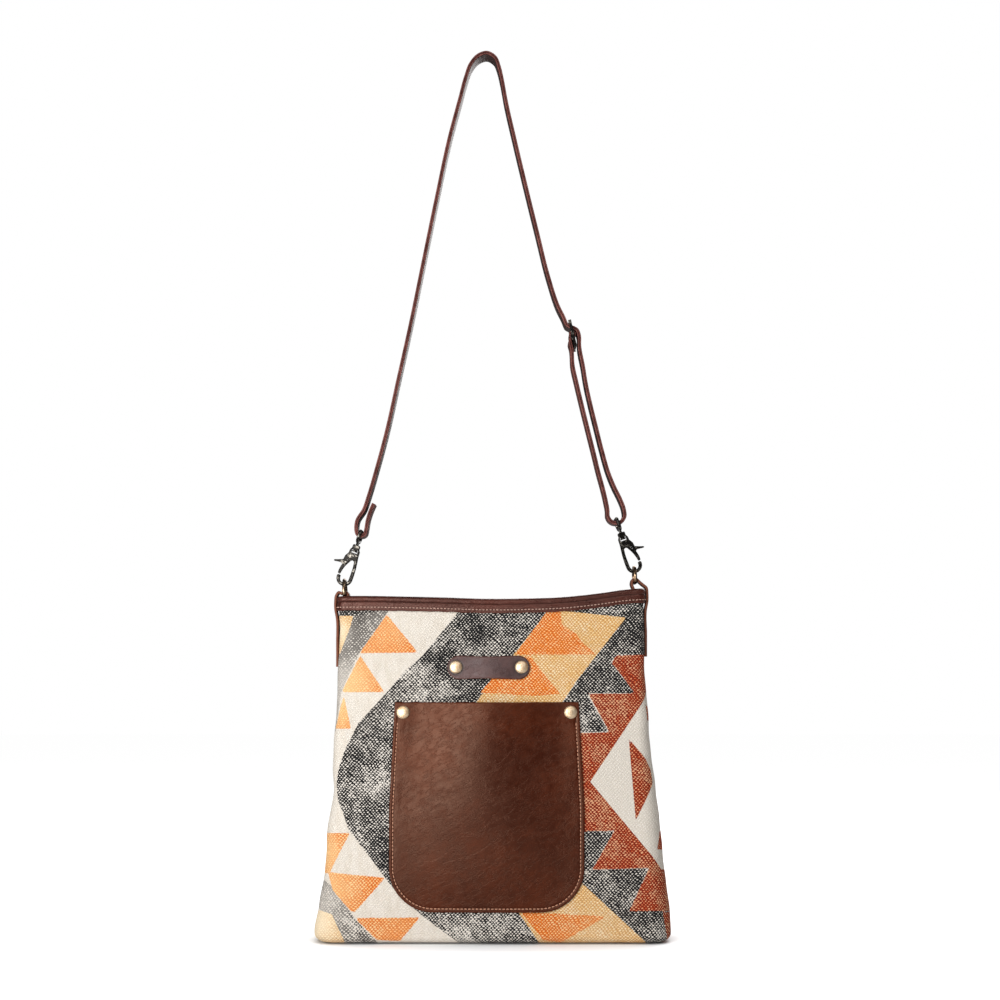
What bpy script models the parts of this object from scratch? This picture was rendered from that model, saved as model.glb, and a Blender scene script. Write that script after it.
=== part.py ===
"""Flat shoulder bag of block-printed canvas, with leather trim and a clip-on leather strap.

The front faces -Y and +Z is up. The bag hangs: the origin is the underside of the strap's
highest point, and heights below are measured up from the bag's base. Lengths are in metres,
written as numbers of millimetres.
"""
import math

import bmesh
import bpy
import numpy as np

MM = 0.001
GAP = 0.3 * MM                # between pieces that touch
FINE_GAP = 0.25 * MM          # between the small metal pieces

HANG_HEIGHT = 685.6 * MM      # from the bag's base up to the strap's underside
CANVAS = 2.0 * MM             # thickness of the printed canvas
LINING = 0.9 * MM
BASE_ROUND = 6.0 * MM         # rounding of the bottom edge
BASE_LIP = 12.0 * MM          # how far the panels turn in under the base
RIM_MID = 263.1 * MM          # height of the rim at the middle

# X, and how far the rim rises above its middle there.
RIM_RISE = (
    (-125.0, 2.0), (-95.0, 2.2), (-64.0, 1.7), (-33.0, 1.0), (0.0, 0.0), (30.0, 0.3), (60.0, 1.5),
    (90.0, 4.8), (106.0, 7.1), (125.0, 8.3),
)
# Side edges of the bag: height, left X and right X.
EDGES = (
    (0.0, -132.2, 141.2), (6.0, -132.8, 141.9), (26.0, -130.2, 140.9), (56.4, -125.4, 136.5),
    (91.5, -122.8, 132.8), (114.2, -118.2, 130.2), (128.0, -118.4, 128.8), (147.0, -117.9, 126.6),
    (182.0, -115.9, 124.2), (215.0, -114.9, 122.3), (250.0, -114.6, 121.4), (272.0, -114.6, 121.3),
)
# Height, outer depth from front to back, how far each face bulges, and the radius of the
# upright corners seen from above.
DEPTHS = (
    (0.0, 60.0, 0.0, 16.0), (20.0, 61.0, 1.2, 16.0), (50.0, 58.0, 3.4, 15.5),
    (90.0, 53.0, 5.0, 14.0), (150.0, 44.0, 5.2, 11.0), (210.0, 33.0, 3.2, 7.6),
    (245.0, 26.0, 1.2, 5.4), (272.0, 24.0, 0.5, 5.0),
)

BINDING = 1.3 * MM            # leather that wraps the rim
BINDING_DROP = 10.5 * MM      # how far it reaches down each face
BINDING_ROLL = 0.6 * MM       # how far its top roll stands proud

STRAP_WIDTH = 17.0 * MM
STRAP_THICK = 3.2 * MM
STRAP_SKIVED = 1.2 * MM       # thickness of the end that folds round the adjuster
TAB_WIDTH = 12.2 * MM
TAB_THICK = 1.9 * MM
TAB_FOOT_LEFT = 211.0 * MM    # height of the outer leg's end
TAB_FOOT_RIGHT = 219.0 * MM
TAB_INSIDE = 17.0 * MM        # how far the inner leg reaches below the rim
TAB_TUCK = 16.0 * MM          # how far below the rim the outer leg comes in to the canvas

CLASP_LENGTH = 39.9 * MM      # from the strap's bar to the middle of the ring wire
LEFT_WIRE = (-111.2 * MM, 278.6 * MM)    # X and height of the ring wire in the left hook
RIGHT_WIRE = (114.7 * MM, 288.6 * MM)
LEFT_TILT = 19.8              # degrees that each clasp leans in towards its strap
RIGHT_TILT = 21.1
EYE_WIRE = 1.3 * MM           # radius of the eye's bar
STEM_RADIUS = 1.2 * MM
STEM_HEAD = 2.1 * MM
HOOK_DEPTH = 4.6 * MM
TRIGGER_DEPTH = 1.8 * MM
PIN_RADIUS = 0.75 * MM
TRIGGER_PIVOT = (3.6 * MM, 15.0 * MM)    # across and along the clasp
THROAT_AT = (0.5, 1.5)        # centre of the hook's bend, in millimetres
THROAT_RADIUS = 3.6
HOOK_BACK_RADIUS = 6.2

RING_WIRE = 1.4 * MM
RING_ARC = 8.0 * MM           # radius of the wire's middle line
RING_DROP = 4.0 * MM          # from the arc's centre down to the straight bar
RING_CORNER = 2.2 * MM

SLIDER_X = 66.3 * MM          # of the adjuster's middle bar
SLIDER_SHARE = 0.6018          # how far down the strap it is, as a share
SLIDER_TILT = 13.0
SLIDER_PITCH = 9.5 * MM       # from bar to bar
SLIDER_BAR = 1.1 * MM         # radius
SLIDER_SIDE = 2.2 * MM        # width of the frame's sides

# The strap's middle line: X in millimetres, and how far down it is, as a share of the way
# from the strap's top to the bar of the clasp on that side.
STRAP_TAIL = (
    (-87.8, 0.9419), (-90.6, 0.9592), (-92.6, 0.9771),
)
STRAP_LEFT = (
    (-95.3, 0.9538), (-91.9, 0.9270), (-85.6, 0.8691), (-78.4, 0.7971), (-68.6, 0.6791),
    (-58.9, 0.5608), (-49.3, 0.4341), (-39.0, 0.2991), (-28.9, 0.1724), (-20.7, 0.0896),
    (-16.4, 0.0466), (-12.4, 0.0184), (-6.6, 0.0011),
)
STRAP_RIGHT = (
    (6.2, 0.0053), (9.3, 0.0253), (11.2, 0.0470), (14.7, 0.0990), (21.1, 0.1771), (30.0, 0.2810),
    (39.2, 0.3850), (47.9, 0.4809), (55.6, 0.5448),
)
STRAP_DOUBLED = (
    (74.6, 0.6713), (76.9, 0.7102), (80.0, 0.7494), (84.6, 0.8013), (89.3, 0.8533),
    (94.4, 0.9020), (99.0, 0.9331), (103.4, 0.9578), (106.4, 0.9812),
)
STRAP_RETURN = (
    (93.6, 0.9812), (92.3, 0.9617), (89.7, 0.9314), (86.7, 0.9011), (83.1, 0.8600),
    (78.2, 0.8058), (73.2, 0.7494), (69.5, 0.7060), (66.6, 0.6699),
)

POCKET_TOP = 184.0 * MM
POCKET_BOTTOM = 24.0 * MM
POCKET_CENTRE = 0.0 * MM
POCKET_TOP_HALF = 70.5 * MM
POCKET_HALF = 74.5 * MM
POCKET_CORNER = 34.0 * MM
POCKET_THICK = 1.6 * MM
POCKET_ROOM = 9.0 * MM        # how far the pocket's mouth stands off the canvas
POCKET_RIVET_IN = 8.0 * MM    # from the pocket's top corners

STRIP_AT = (1.4 * MM, 210.5 * MM)
STRIP_LENGTH = 63.5 * MM
STRIP_HEIGHT = 18.4 * MM
STRIP_THICK = 1.7 * MM
STRIP_RIVET_IN = 6.6 * MM
RIVET_CAP = 5.0 * MM          # radius
RIVET_DOME = 2.0 * MM
RIVET_SHANK = 1.9 * MM
RIVET_BACK = 3.6 * MM

ZIP_HEIGHT = 246.0 * MM
ZIP_HALF = 97.0 * MM          # half the length of the zip
ZIP_CENTRE = 9.0 * MM
ZIP_TAPE = 0.9 * MM
ZIP_RIDGE = 1.7 * MM          # width of each row of teeth
ZIP_RIDGE_RISE = 0.8 * MM     # how far the teeth stand above and below the tape
ZIP_SLOT = 1.6 * MM           # space between the two rows, for the slider's web
ZIP_SLIDER_LENGTH = 11.0 * MM
ZIP_SLIDER_WIDTH = 8.6 * MM
ZIP_PLATE = 1.1 * MM
ZIP_STOP_LENGTH = 3.0 * MM
PULL_LENGTH = 24.0 * MM
PULL_WIDTH = 4.4 * MM
PULL_THICK = 1.3 * MM
PULL_PIN = 0.7 * MM
PULL_EAR = 1.0 * MM           # thickness of each of the slider's ears
PULL_EAR_HALF = 1.5 * MM      # half of an ear's length
PULL_AXLE_RISE = 1.9 * MM     # from the slider's top to the pin
PULL_NECK = 6.0 * MM          # from the pin to the wide part of the pull

ORANGE_CANVAS = (0.86, 0.62, 0.30, 1.0)
CREAM_CLOTH = (0.82, 0.77, 0.70, 1.0)
BROWN_LEATHER = (0.115, 0.034, 0.018, 1.0)
STRAP_LEATHER = (0.16, 0.065, 0.055, 1.0)
GUNMETAL = (0.12, 0.11, 0.10, 1.0)
PALE_BRASS = (0.72, 0.60, 0.36, 1.0)


def clear_scene():
    for thing in list(bpy.data.objects):
        bpy.data.objects.remove(thing, do_unlink=True)


def material(name, colour, roughness, metallic=0.0):
    """A plain Principled material, made once for each name."""
    if name in bpy.data.materials:
        return bpy.data.materials[name]
    made = bpy.data.materials.new(name)
    made.use_nodes = True
    shader = made.node_tree.nodes["Principled BSDF"]
    shader.inputs["Base Color"].default_value = colour
    shader.inputs["Roughness"].default_value = roughness
    shader.inputs["Metallic"].default_value = metallic
    return made


def add_object(name, points, faces, finish, origin=(0.0, 0.0, 0.0), sharp=35.0):
    """A closed mesh object. Points are world places, and origin is the object's own zero."""
    places = np.asarray(points, float).reshape(-1, 3) - np.asarray(origin, float)
    mesh = bpy.data.meshes.new(name)
    mesh.from_pydata(places.tolist(), [], [list(map(int, face)) for face in faces])
    work = bmesh.new()
    work.from_mesh(mesh)
    bmesh.ops.recalc_face_normals(work, faces=work.faces)
    work.to_mesh(mesh)
    work.free()
    mesh.materials.append(finish)
    mesh.shade_smooth()
    mesh.set_sharp_from_angle(angle=math.radians(sharp))
    made = bpy.data.objects.new(name, mesh)
    made.location = origin
    bpy.context.collection.objects.link(made)
    return made


def grid_faces(rows, columns, close_rows=False, close_columns=False, start=0):
    """Quads of a grid whose points are numbered row by row."""
    faces = []
    for row in range(rows if close_rows else rows - 1):
        for column in range(columns if close_columns else columns - 1):
            below = (row + 1) % rows
            beside = (column + 1) % columns
            faces.append((start + row * columns + column, start + row * columns + beside,
                          start + below * columns + beside, start + below * columns + column))
    return faces


def slab(outer, inner):
    """Points and faces of a sheet between two grids of the same size, closed all round."""
    rows, columns = outer.shape[:2]
    count = rows * columns
    faces = grid_faces(rows, columns) + grid_faces(rows, columns, start=count)
    border = [(0, c) for c in range(columns)]
    border += [(r, columns - 1) for r in range(1, rows)]
    border += [(rows - 1, c) for c in range(columns - 2, -1, -1)]
    border += [(r, 0) for r in range(rows - 2, 0, -1)]
    edge = [r * columns + c for r, c in border]
    for here, there in zip(edge, edge[1:] + edge[:1]):
        faces.append((here, there, there + count, here + count))
    return np.concatenate([outer.reshape(-1, 3), inner.reshape(-1, 3)]), faces


def tube(path, radius, sides=10):
    """Points and faces of a closed loop of round wire that follows a flat closed path."""
    path = np.asarray(path, float)
    tangent = np.roll(path, -1, axis=0) - np.roll(path, 1, axis=0)
    tangent /= np.linalg.norm(tangent, axis=1)[:, None]
    flat = np.cross(path[len(path) // 4] - path[0], path[len(path) // 2] - path[0])
    flat /= np.linalg.norm(flat)
    out = np.cross(tangent, flat)
    turn = np.linspace(0.0, 2.0 * math.pi, sides, endpoint=False)
    grid = (path[:, None] + radius * np.cos(turn)[None, :, None] * out[:, None]
            + radius * np.sin(turn)[None, :, None] * flat)
    return grid, grid_faces(len(path), sides, close_rows=True, close_columns=True)


def prism(outline, low, high):
    """Points and faces of an outline of X and Z pulled along Y from low to high."""
    count = len(outline)
    points = [(x, low, z) for x, z in outline] + [(x, high, z) for x, z in outline]
    faces = [tuple(range(count)), tuple(range(2 * count - 1, count - 1, -1))]
    for here in range(count):
        there = (here + 1) % count
        faces.append((here, there, there + count, here + count))
    return points, faces


def block(low, high):
    """Points and faces of a box between two corners."""
    outline = [(low[0], low[2]), (high[0], low[2]), (high[0], high[2]), (low[0], high[2])]
    return prism(outline, low[1], high[1])


def rod(start, end, radius, sides=16):
    """Points and faces of a straight rod with flat ends."""
    return turned(start, end, ((0.0, radius), (1.0, radius)), sides)


def turned(start, end, profile, sides=16):
    """Points and faces of a turned solid. Its profile holds shares of the way and radii."""
    start, end = np.asarray(start, float), np.asarray(end, float)
    along = (end - start) / np.linalg.norm(end - start)
    side = np.cross(along, (0.0, 1.0, 0.0) if abs(along[1]) < 0.9 else (1.0, 0.0, 0.0))
    side /= np.linalg.norm(side)
    other = np.cross(along, side)
    turn = np.linspace(0.0, 2.0 * math.pi, sides, endpoint=False)
    ring = np.cos(turn)[:, None] * side + np.sin(turn)[:, None] * other
    points = np.concatenate([start + (end - start) * share + ring * radius
                             for share, radius in profile])
    faces = grid_faces(len(profile), sides, close_columns=True)
    last = (len(profile) - 1) * sides
    faces.append(tuple(range(sides)))
    faces.append(tuple(range(last, last + sides)))
    return points, faces


def bevel(thing, width, segments=2, angle=40.0):
    """Rounds the sharp edges of an object."""
    rounding = thing.modifiers.new("rounding", "BEVEL")
    rounding.width = width
    rounding.segments = segments
    rounding.limit_method = "ANGLE"
    rounding.angle_limit = math.radians(angle)


def cutter(name, points, faces):
    """A hidden tool that a Boolean takes away or joins."""
    tool = add_object(name, points, faces, material("cutter", (1.0, 0.0, 0.0, 1.0), 0.5))
    tool.hide_render = True
    tool.display_type = "WIRE"
    return tool


def combine(thing, tool, operation="DIFFERENCE"):
    """Cuts a tool out of an object, or joins it on."""
    change = thing.modifiers.new(operation.lower(), "BOOLEAN")
    change.operation = operation
    change.object = tool


def smooth_value(table, column, at):
    """Value of a table's column, on a smooth curve through its rows. The first column is
    where along the curve each row lies."""
    rows = np.asarray(table, float) * MM
    known, values = rows[:, 0], rows[:, column]
    slopes = np.gradient(values, known)
    at = np.clip(at, known[0], known[-1])
    left = np.clip(np.searchsorted(known, at) - 1, 0, len(known) - 2)
    span = known[left + 1] - known[left]
    t = (at - known[left]) / span
    return ((2 * t**3 - 3 * t**2 + 1) * values[left] + (t**3 - 2 * t**2 + t) * span * slopes[left]
            + (3 * t**2 - 2 * t**3) * values[left + 1] + (t**3 - t**2) * span * slopes[left + 1])


def rim_height(x):
    return RIM_MID + smooth_value(RIM_RISE, 1, x)


def wall_columns(front_steps=16, corner_steps=4, side_steps=2):
    """Stations round one face, right seam to left seam, as weights for plan_point.

    Each row is: share of the straight front, share of the straight side, and the cosine and
    sine of the corner's arc.
    """
    side = [(1.0, share, 1.0, 0.0) for share in np.linspace(0.0, 1.0, side_steps, endpoint=False)]
    arcs = np.linspace(0.0, math.pi / 2, corner_steps + 1)
    corner = [(1.0, 1.0, math.cos(a), math.sin(a)) for a in arcs]
    front = [(share, 1.0, 0.0, 1.0) for share in np.linspace(1.0, -1.0, front_steps + 1)[1:-1]]
    left = [(-a, b, -c, s) for a, b, c, s in reversed(side + corner)]
    return np.array(side + corner + front + left)


def plan_point(columns, height, inset):
    """World points of the bag's wall at a height and an inset from its outer face."""
    left = smooth_value(EDGES, 1, height) + inset
    right = smooth_value(EDGES, 2, height) - inset
    deep = smooth_value(DEPTHS, 1, height) / 2 - inset
    bulge = smooth_value(DEPTHS, 2, height)
    rounding = np.maximum(smooth_value(DEPTHS, 3, height) - inset, 0.3 * MM)
    front, side, cosine, sine = columns.T
    x = (left + right) / 2 + front * ((right - left) / 2 - rounding) + rounding * cosine
    y = side * (deep - rounding) + rounding * sine + bulge * (1 - front**2) * side
    return np.stack([x, -y, height - HANG_HEIGHT + 0 * x], axis=-1)


def wall_grid(columns, inset, floor=True, wall_rows=9):
    """Rows of points of the wall's face at an inset, from under the base into the binding."""
    rim_x = plan_point(columns, np.full(len(columns), RIM_MID), 0.0)[:, 0]
    tops = rim_height(rim_x) - BINDING - GAP
    covered = rim_height(rim_x) - BINDING_DROP
    rows = []
    if floor:
        rows.append(plan_point(columns, np.full(len(columns), inset), BASE_LIP))
    for angle in np.radians((0.0, 30.0, 60.0, 90.0)):
        height = BASE_ROUND - (BASE_ROUND - inset) * math.cos(angle)
        inwards = BASE_ROUND - (BASE_ROUND - inset) * math.sin(angle)
        rows.append(plan_point(columns, np.full(len(columns), height), inwards))
    for share in np.linspace(0.0, 1.0, wall_rows + 1)[1:]:
        rows.append(plan_point(columns, BASE_ROUND + (covered - BASE_ROUND) * share, inset))
    rows.append(plan_point(columns, tops, inset))
    return np.array(rows)


def front_y(x, height):
    """Y of the front panel's outer face."""
    left = smooth_value(EDGES, 1, height)
    right = smooth_value(EDGES, 2, height)
    deep = smooth_value(DEPTHS, 1, height) / 2
    straight = (right - left) / 2 - smooth_value(DEPTHS, 3, height)
    share = np.clip((x - (left + right) / 2) / straight, -1.0, 1.0)
    return -(deep + smooth_value(DEPTHS, 2, height) * (1 - share**2))


def front_frame(x, height):
    """Place on the front panel's outer face, and the direction that points out of it."""
    step = 1.0 * MM
    across = (front_y(x + step, height) - front_y(x - step, height)) / (2 * step)
    up = (front_y(x, height + step) - front_y(x, height - step)) / (2 * step)
    out = np.array([across, -1.0, up])
    place = np.array([x, front_y(x, height), height - HANG_HEIGHT])
    return place, out / np.linalg.norm(out)


def make_panels(canvas):
    """The front and back canvas panels, which meet at the side seams."""
    columns = wall_columns()
    panels = []
    for name, facing in (("front_panel", 1.0), ("back_panel", -1.0)):
        outer = wall_grid(columns, 0.0)
        inner = wall_grid(columns, CANVAS)
        for grid in (outer, inner):
            grid[..., 1] = np.minimum(grid[..., 1], -GAP / 2) * facing
        panels.append(add_object(name, *slab(outer, inner), canvas))
    return panels


def make_base(canvas):
    """The flat base panel, inside the panels' turned-in lips."""
    columns = wall_columns(front_steps=8, side_steps=1)
    half = plan_point(columns, np.zeros(len(columns)), BASE_LIP + GAP)[:, :2]
    outline = np.concatenate([half, (half * (1.0, -1.0))[-2:0:-1]])
    count = len(outline)
    low = [(x, y, -HANG_HEIGHT) for x, y in outline]
    high = [(x, y, CANVAS - HANG_HEIGHT) for x, y in outline]
    faces = [tuple(range(count)), tuple(range(count, 2 * count))]
    faces += grid_faces(2, count, close_columns=True)
    return add_object("base_panel", low + high, faces, canvas)


def make_lining(cloth):
    """The lining: an open bucket of thin cloth inside the canvas."""
    columns = wall_columns(front_steps=8, side_steps=1)
    grids = []
    for inset in (CANVAS + GAP, CANVAS + GAP + LINING):
        front = wall_grid(columns, inset, floor=False)
        back = (front * (1.0, -1.0, 1.0))[:, -2:0:-1]
        grids.append(np.concatenate([front, back], axis=1))
    outer, inner = grids
    rows, count = outer.shape[:2]
    size = rows * count
    faces = grid_faces(rows, count, close_columns=True)
    faces += grid_faces(rows, count, close_columns=True, start=size)
    faces += [tuple(range(count)), tuple(range(size, size + count))]
    top = (rows - 1) * count
    for here in range(count):
        there = (here + 1) % count
        faces.append((top + here, top + there, size + top + there, size + top + here))
    points = np.concatenate([outer.reshape(-1, 3), inner.reshape(-1, 3)])
    return add_object("lining", points, faces, cloth)


def make_binding(leather):
    """The leather strip folded over the whole rim."""
    columns = wall_columns(side_steps=1)
    inside = CANVAS + GAP + LINING + GAP
    outer, inner = -GAP, inside
    roll = BINDING_ROLL
    section = (
        (outer - BINDING, -BINDING_DROP), (outer - BINDING, -4.0 * MM),
        (outer - BINDING - roll / 2, -1.5 * MM), (outer - BINDING / 2, 0.0),
        ((outer + inner) / 2, roll / 2), (inner + BINDING / 2, 0.0),
        (inner + BINDING, -1.5 * MM), (inner + BINDING, -BINDING_DROP),
        (inner, -BINDING_DROP), (inner, -BINDING), (outer, -BINDING), (outer, -BINDING_DROP),
    )
    rim_x = plan_point(columns, np.full(len(columns), RIM_MID), 0.0)[:, 0]
    loops = []
    for inset, rise in section:
        half = plan_point(columns, rim_height(rim_x) + rise, inset)
        loops.append(np.concatenate([half, (half * (1.0, -1.0, 1.0))[-2:0:-1]]))
    grid = np.array(loops)
    faces = grid_faces(*grid.shape[:2], close_rows=True, close_columns=True)
    return add_object("rim_binding", grid, faces, leather)


def pocket_half(height):
    """Half width of the pocket at a height: flared sides and round bottom corners."""
    share = (height - POCKET_BOTTOM) / (POCKET_TOP - POCKET_BOTTOM)
    side = POCKET_HALF + (POCKET_TOP_HALF - POCKET_HALF) * np.clip(2 * share - 1, 0.0, 1.0)
    fall = np.clip(POCKET_CORNER - (height - POCKET_BOTTOM), 0.0, POCKET_CORNER)
    return side - POCKET_CORNER + np.sqrt(POCKET_CORNER**2 - fall**2)


def make_pocket(leather):
    """The leather patch pocket: held along three sides, with its mouth standing off."""
    turn = np.linspace(0.0, math.pi / 2, 5)
    low = POCKET_BOTTOM + POCKET_CORNER * (1 - np.cos(turn))
    heights = np.concatenate([low, np.linspace(low[-1], POCKET_TOP, 8)[1:]])
    across = np.sin(np.linspace(-math.pi / 2, math.pi / 2, 17))
    share = (heights - POCKET_BOTTOM)[:, None] / (POCKET_TOP - POCKET_BOTTOM)
    x = POCKET_CENTRE + pocket_half(heights)[:, None] * across[None, :]
    height = heights[:, None] + 0 * x
    open_part = np.clip(1 - (across / 0.82) ** 2, 0.0, 1.0) ** 2
    room = POCKET_ROOM * open_part[None, :] * np.sin(share * math.pi / 2) ** 1.2
    skin = front_y(x, height) - GAP - room
    inner = np.stack([x, skin, height - HANG_HEIGHT], axis=-1)
    outer = np.stack([x, skin - POCKET_THICK, height - HANG_HEIGHT], axis=-1)
    return add_object("pocket", *slab(outer, inner), leather)


def make_strip(leather):
    """The short leather strip above the pocket, with round ends and a slight waist."""
    centre, height = STRIP_AT
    round_end = STRIP_HEIGHT / 2
    turn = np.linspace(0.0, math.pi / 2, 4)
    ends = STRIP_LENGTH / 2 - round_end * (1 - np.cos(turn[::-1]))
    along = np.concatenate([-ends[::-1], np.linspace(-ends[0], ends[0], 9)[1:-1], ends])
    past = np.clip(np.abs(along) - (STRIP_LENGTH / 2 - round_end), 0.0, round_end)
    half = np.maximum(np.sqrt(round_end**2 - past**2), round_end * 0.35)
    half *= 1 - 0.07 * np.cos(np.clip(along / ends[0], -1, 1) * math.pi / 2)
    across = np.linspace(-1.0, 1.0, 5)
    x = centre + along[:, None] + 0 * across[None, :]
    heights = height + half[:, None] * across[None, :]
    skin = front_y(x, heights) - GAP
    inner = np.stack([x, skin, heights - HANG_HEIGHT], axis=-1)
    outer = np.stack([x, skin - STRIP_THICK, heights - HANG_HEIGHT], axis=-1)
    return add_object("loop_strip", *slab(outer, inner), leather)


def make_rivet(name, x, height, leather_thick, held, brass):
    """A domed rivet through the leather, the canvas and the lining, with a back cap."""
    place, out = front_frame(x, height)
    face = leather_thick + GAP * 2
    back = -(CANVAS + GAP + LINING + GAP)
    low, high = back - 0.9 * MM, face + RIVET_DOME
    spots = (
        (low, RIVET_BACK - 0.4 * MM), (low + 0.4 * MM, RIVET_BACK), (back, RIVET_BACK),
        (back, RIVET_SHANK), (face, RIVET_SHANK), (face, RIVET_CAP),
        (face + RIVET_DOME * 0.3, RIVET_CAP), (face + RIVET_DOME * 0.65, RIVET_CAP * 0.82),
        (face + RIVET_DOME * 0.9, RIVET_CAP * 0.5), (high, RIVET_CAP * 0.18),
    )
    profile = [((at - low) / (high - low), radius) for at, radius in spots]
    add_object(name, *turned(place + out * low, place + out * high, profile), brass)
    hole = cutter(name + "_hole", *rod(place + out * (low - 3 * MM), place + out * (high + 3 * MM),
                                       RIVET_SHANK + GAP, 12))
    for thing in held:
        combine(thing, hole)


def make_rivets(pocket, strip, panel, lining, brass):
    """Two rivets at the pocket's top corners and two in the strip."""
    height = POCKET_TOP - POCKET_RIVET_IN
    for side, way in (("left", -1.0), ("right", 1.0)):
        reach = pocket_half(height) - POCKET_RIVET_IN * 0.85
        make_rivet("pocket_rivet_" + side, POCKET_CENTRE + way * reach, height, POCKET_THICK,
                   (pocket, panel, lining), brass)
        reach = STRIP_LENGTH / 2 - STRIP_RIVET_IN
        make_rivet("strip_rivet_" + side, STRIP_AT[0] + way * reach, STRIP_AT[1], STRIP_THICK,
                   (strip, panel, lining), brass)


def smooth_path(points, turn_limit=9.0, length_limit=24 * MM):
    """Points on a smooth curve through the given ones, closer together where it bends."""
    given = np.asarray(points, float)
    knots = np.concatenate([[0.0], np.cumsum(np.linalg.norm(np.diff(given, axis=0), axis=1))])
    slopes = np.gradient(given, knots, axis=0)
    fine = np.linspace(0.0, knots[-1], 30 * len(given))
    left = np.clip(np.searchsorted(knots, fine, side="right") - 1, 0, len(knots) - 2)
    span = (knots[left + 1] - knots[left])[:, None]
    t = (fine - knots[left])[:, None] / span
    dense = ((2 * t**3 - 3 * t**2 + 1) * given[left] + (t**3 - 2 * t**2 + t) * span * slopes[left]
             + (3 * t**2 - 2 * t**3) * given[left + 1] + (t**3 - t**2) * span * slopes[left + 1])
    steps = np.diff(dense, axis=0)
    lengths = np.linalg.norm(steps, axis=1)
    headings = np.unwrap(np.arctan2(steps[:, 1], steps[:, 0]))
    kept, turned_by, gone = [0], 0.0, 0.0
    for index in range(1, len(dense) - 1):
        turned_by += abs(headings[index] - headings[index - 1])
        gone += lengths[index - 1]
        if turned_by > math.radians(turn_limit) or gone > length_limit:
            kept.append(index)
            turned_by, gone = 0.0, 0.0
    return dense[kept + [len(dense) - 1]], fine[kept + [len(dense) - 1]] / knots[-1]


def ribbon(path, width, thickness, edge=0.5 * MM):
    """Points and faces of a flat strap whose middle line runs through X and height."""
    path = np.asarray(path, float)
    way = np.gradient(path, axis=0)
    way /= np.linalg.norm(way, axis=1)[:, None]
    normal = np.stack([way[:, 1], -way[:, 0]], axis=-1)
    half = np.broadcast_to(np.asarray(thickness) / 2, len(path))
    wide, cut = width / 2, np.minimum(edge, half * 0.6)
    section = [(-wide + cut, half), (wide - cut, half), (wide + 0 * cut, half - cut),
               (wide + 0 * cut, cut - half), (wide - cut, -half), (cut - wide, -half),
               (-wide + 0 * cut, cut - half), (-wide + 0 * cut, half - cut)]
    rings = []
    for y, off in section:
        rings.append(np.stack([path[:, 0] + normal[:, 0] * off, y,
                               path[:, 1] + normal[:, 1] * off - HANG_HEIGHT], axis=-1))
    grid = np.array(rings).transpose(1, 0, 2)
    rows, sides = grid.shape[:2]
    faces = grid_faces(rows, sides, close_columns=True)
    faces += [tuple(range(sides)), tuple(range((rows - 1) * sides, rows * sides))]
    return grid, faces


def arc(centre, radius, start, end, steps=5):
    """Points on an arc in X and height. Angles are in degrees from +X."""
    turns = np.radians(np.linspace(start, end, steps))
    return [(centre[0] + radius * math.cos(a), centre[1] + radius * math.sin(a)) for a in turns]


def clasp_place(wire, tilt, side, across, along):
    """World X and height of a point in a clasp's own frame. Side is -1 left, 1 right."""
    lean = math.radians(tilt)
    x = wire[0] + side * (across * math.cos(lean) - along * math.sin(lean))
    height = wire[1] + across * math.sin(lean) + along * math.cos(lean)
    return x, height


def clasp_bars():
    """X and height of the eyes' bars, left and right."""
    return (clasp_place(LEFT_WIRE, LEFT_TILT, -1.0, 0.0, CLASP_LENGTH),
            clasp_place(RIGHT_WIRE, RIGHT_TILT, 1.0, 0.0, CLASP_LENGTH))


def strap_height(share, bar):
    """Height that lies a share of the way down from the strap's top to a clasp's bar."""
    return HANG_HEIGHT - share * (HANG_HEIGHT - bar[1])


def slider_place(off, down):
    """World X and height of a point off the adjuster's plane and down along it."""
    lean = math.radians(SLIDER_TILT)
    middle = strap_height(SLIDER_SHARE, clasp_bars()[1])
    return (SLIDER_X + off * math.cos(lean) + down * math.sin(lean),
            middle + off * math.sin(lean) - down * math.cos(lean))


def strap_leg(points, bar):
    return [(x * MM, strap_height(share, bar)) for x, share in points]


def strap_through_adjuster(beside, over):
    """The strap's way past the adjuster's top bar and over its middle bar."""
    crossing = math.degrees(math.asin((beside + over) / SLIDER_PITCH))
    route = [slider_place(-beside - 0.6 * MM, -SLIDER_PITCH - 4.0 * MM)]
    route += [slider_place(-beside * math.cos(a), beside * math.sin(a) - SLIDER_PITCH)
              for a in np.radians((0.0, crossing / 2, crossing))]
    route += [slider_place(over * math.sin(a), -over * math.cos(a))
              for a in np.radians((90.0 - crossing, 90.0 - crossing / 2, 90.0))]
    return route + [slider_place(over, 3.0 * MM), slider_place(beside + 0.2 * MM, SLIDER_PITCH)]


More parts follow.
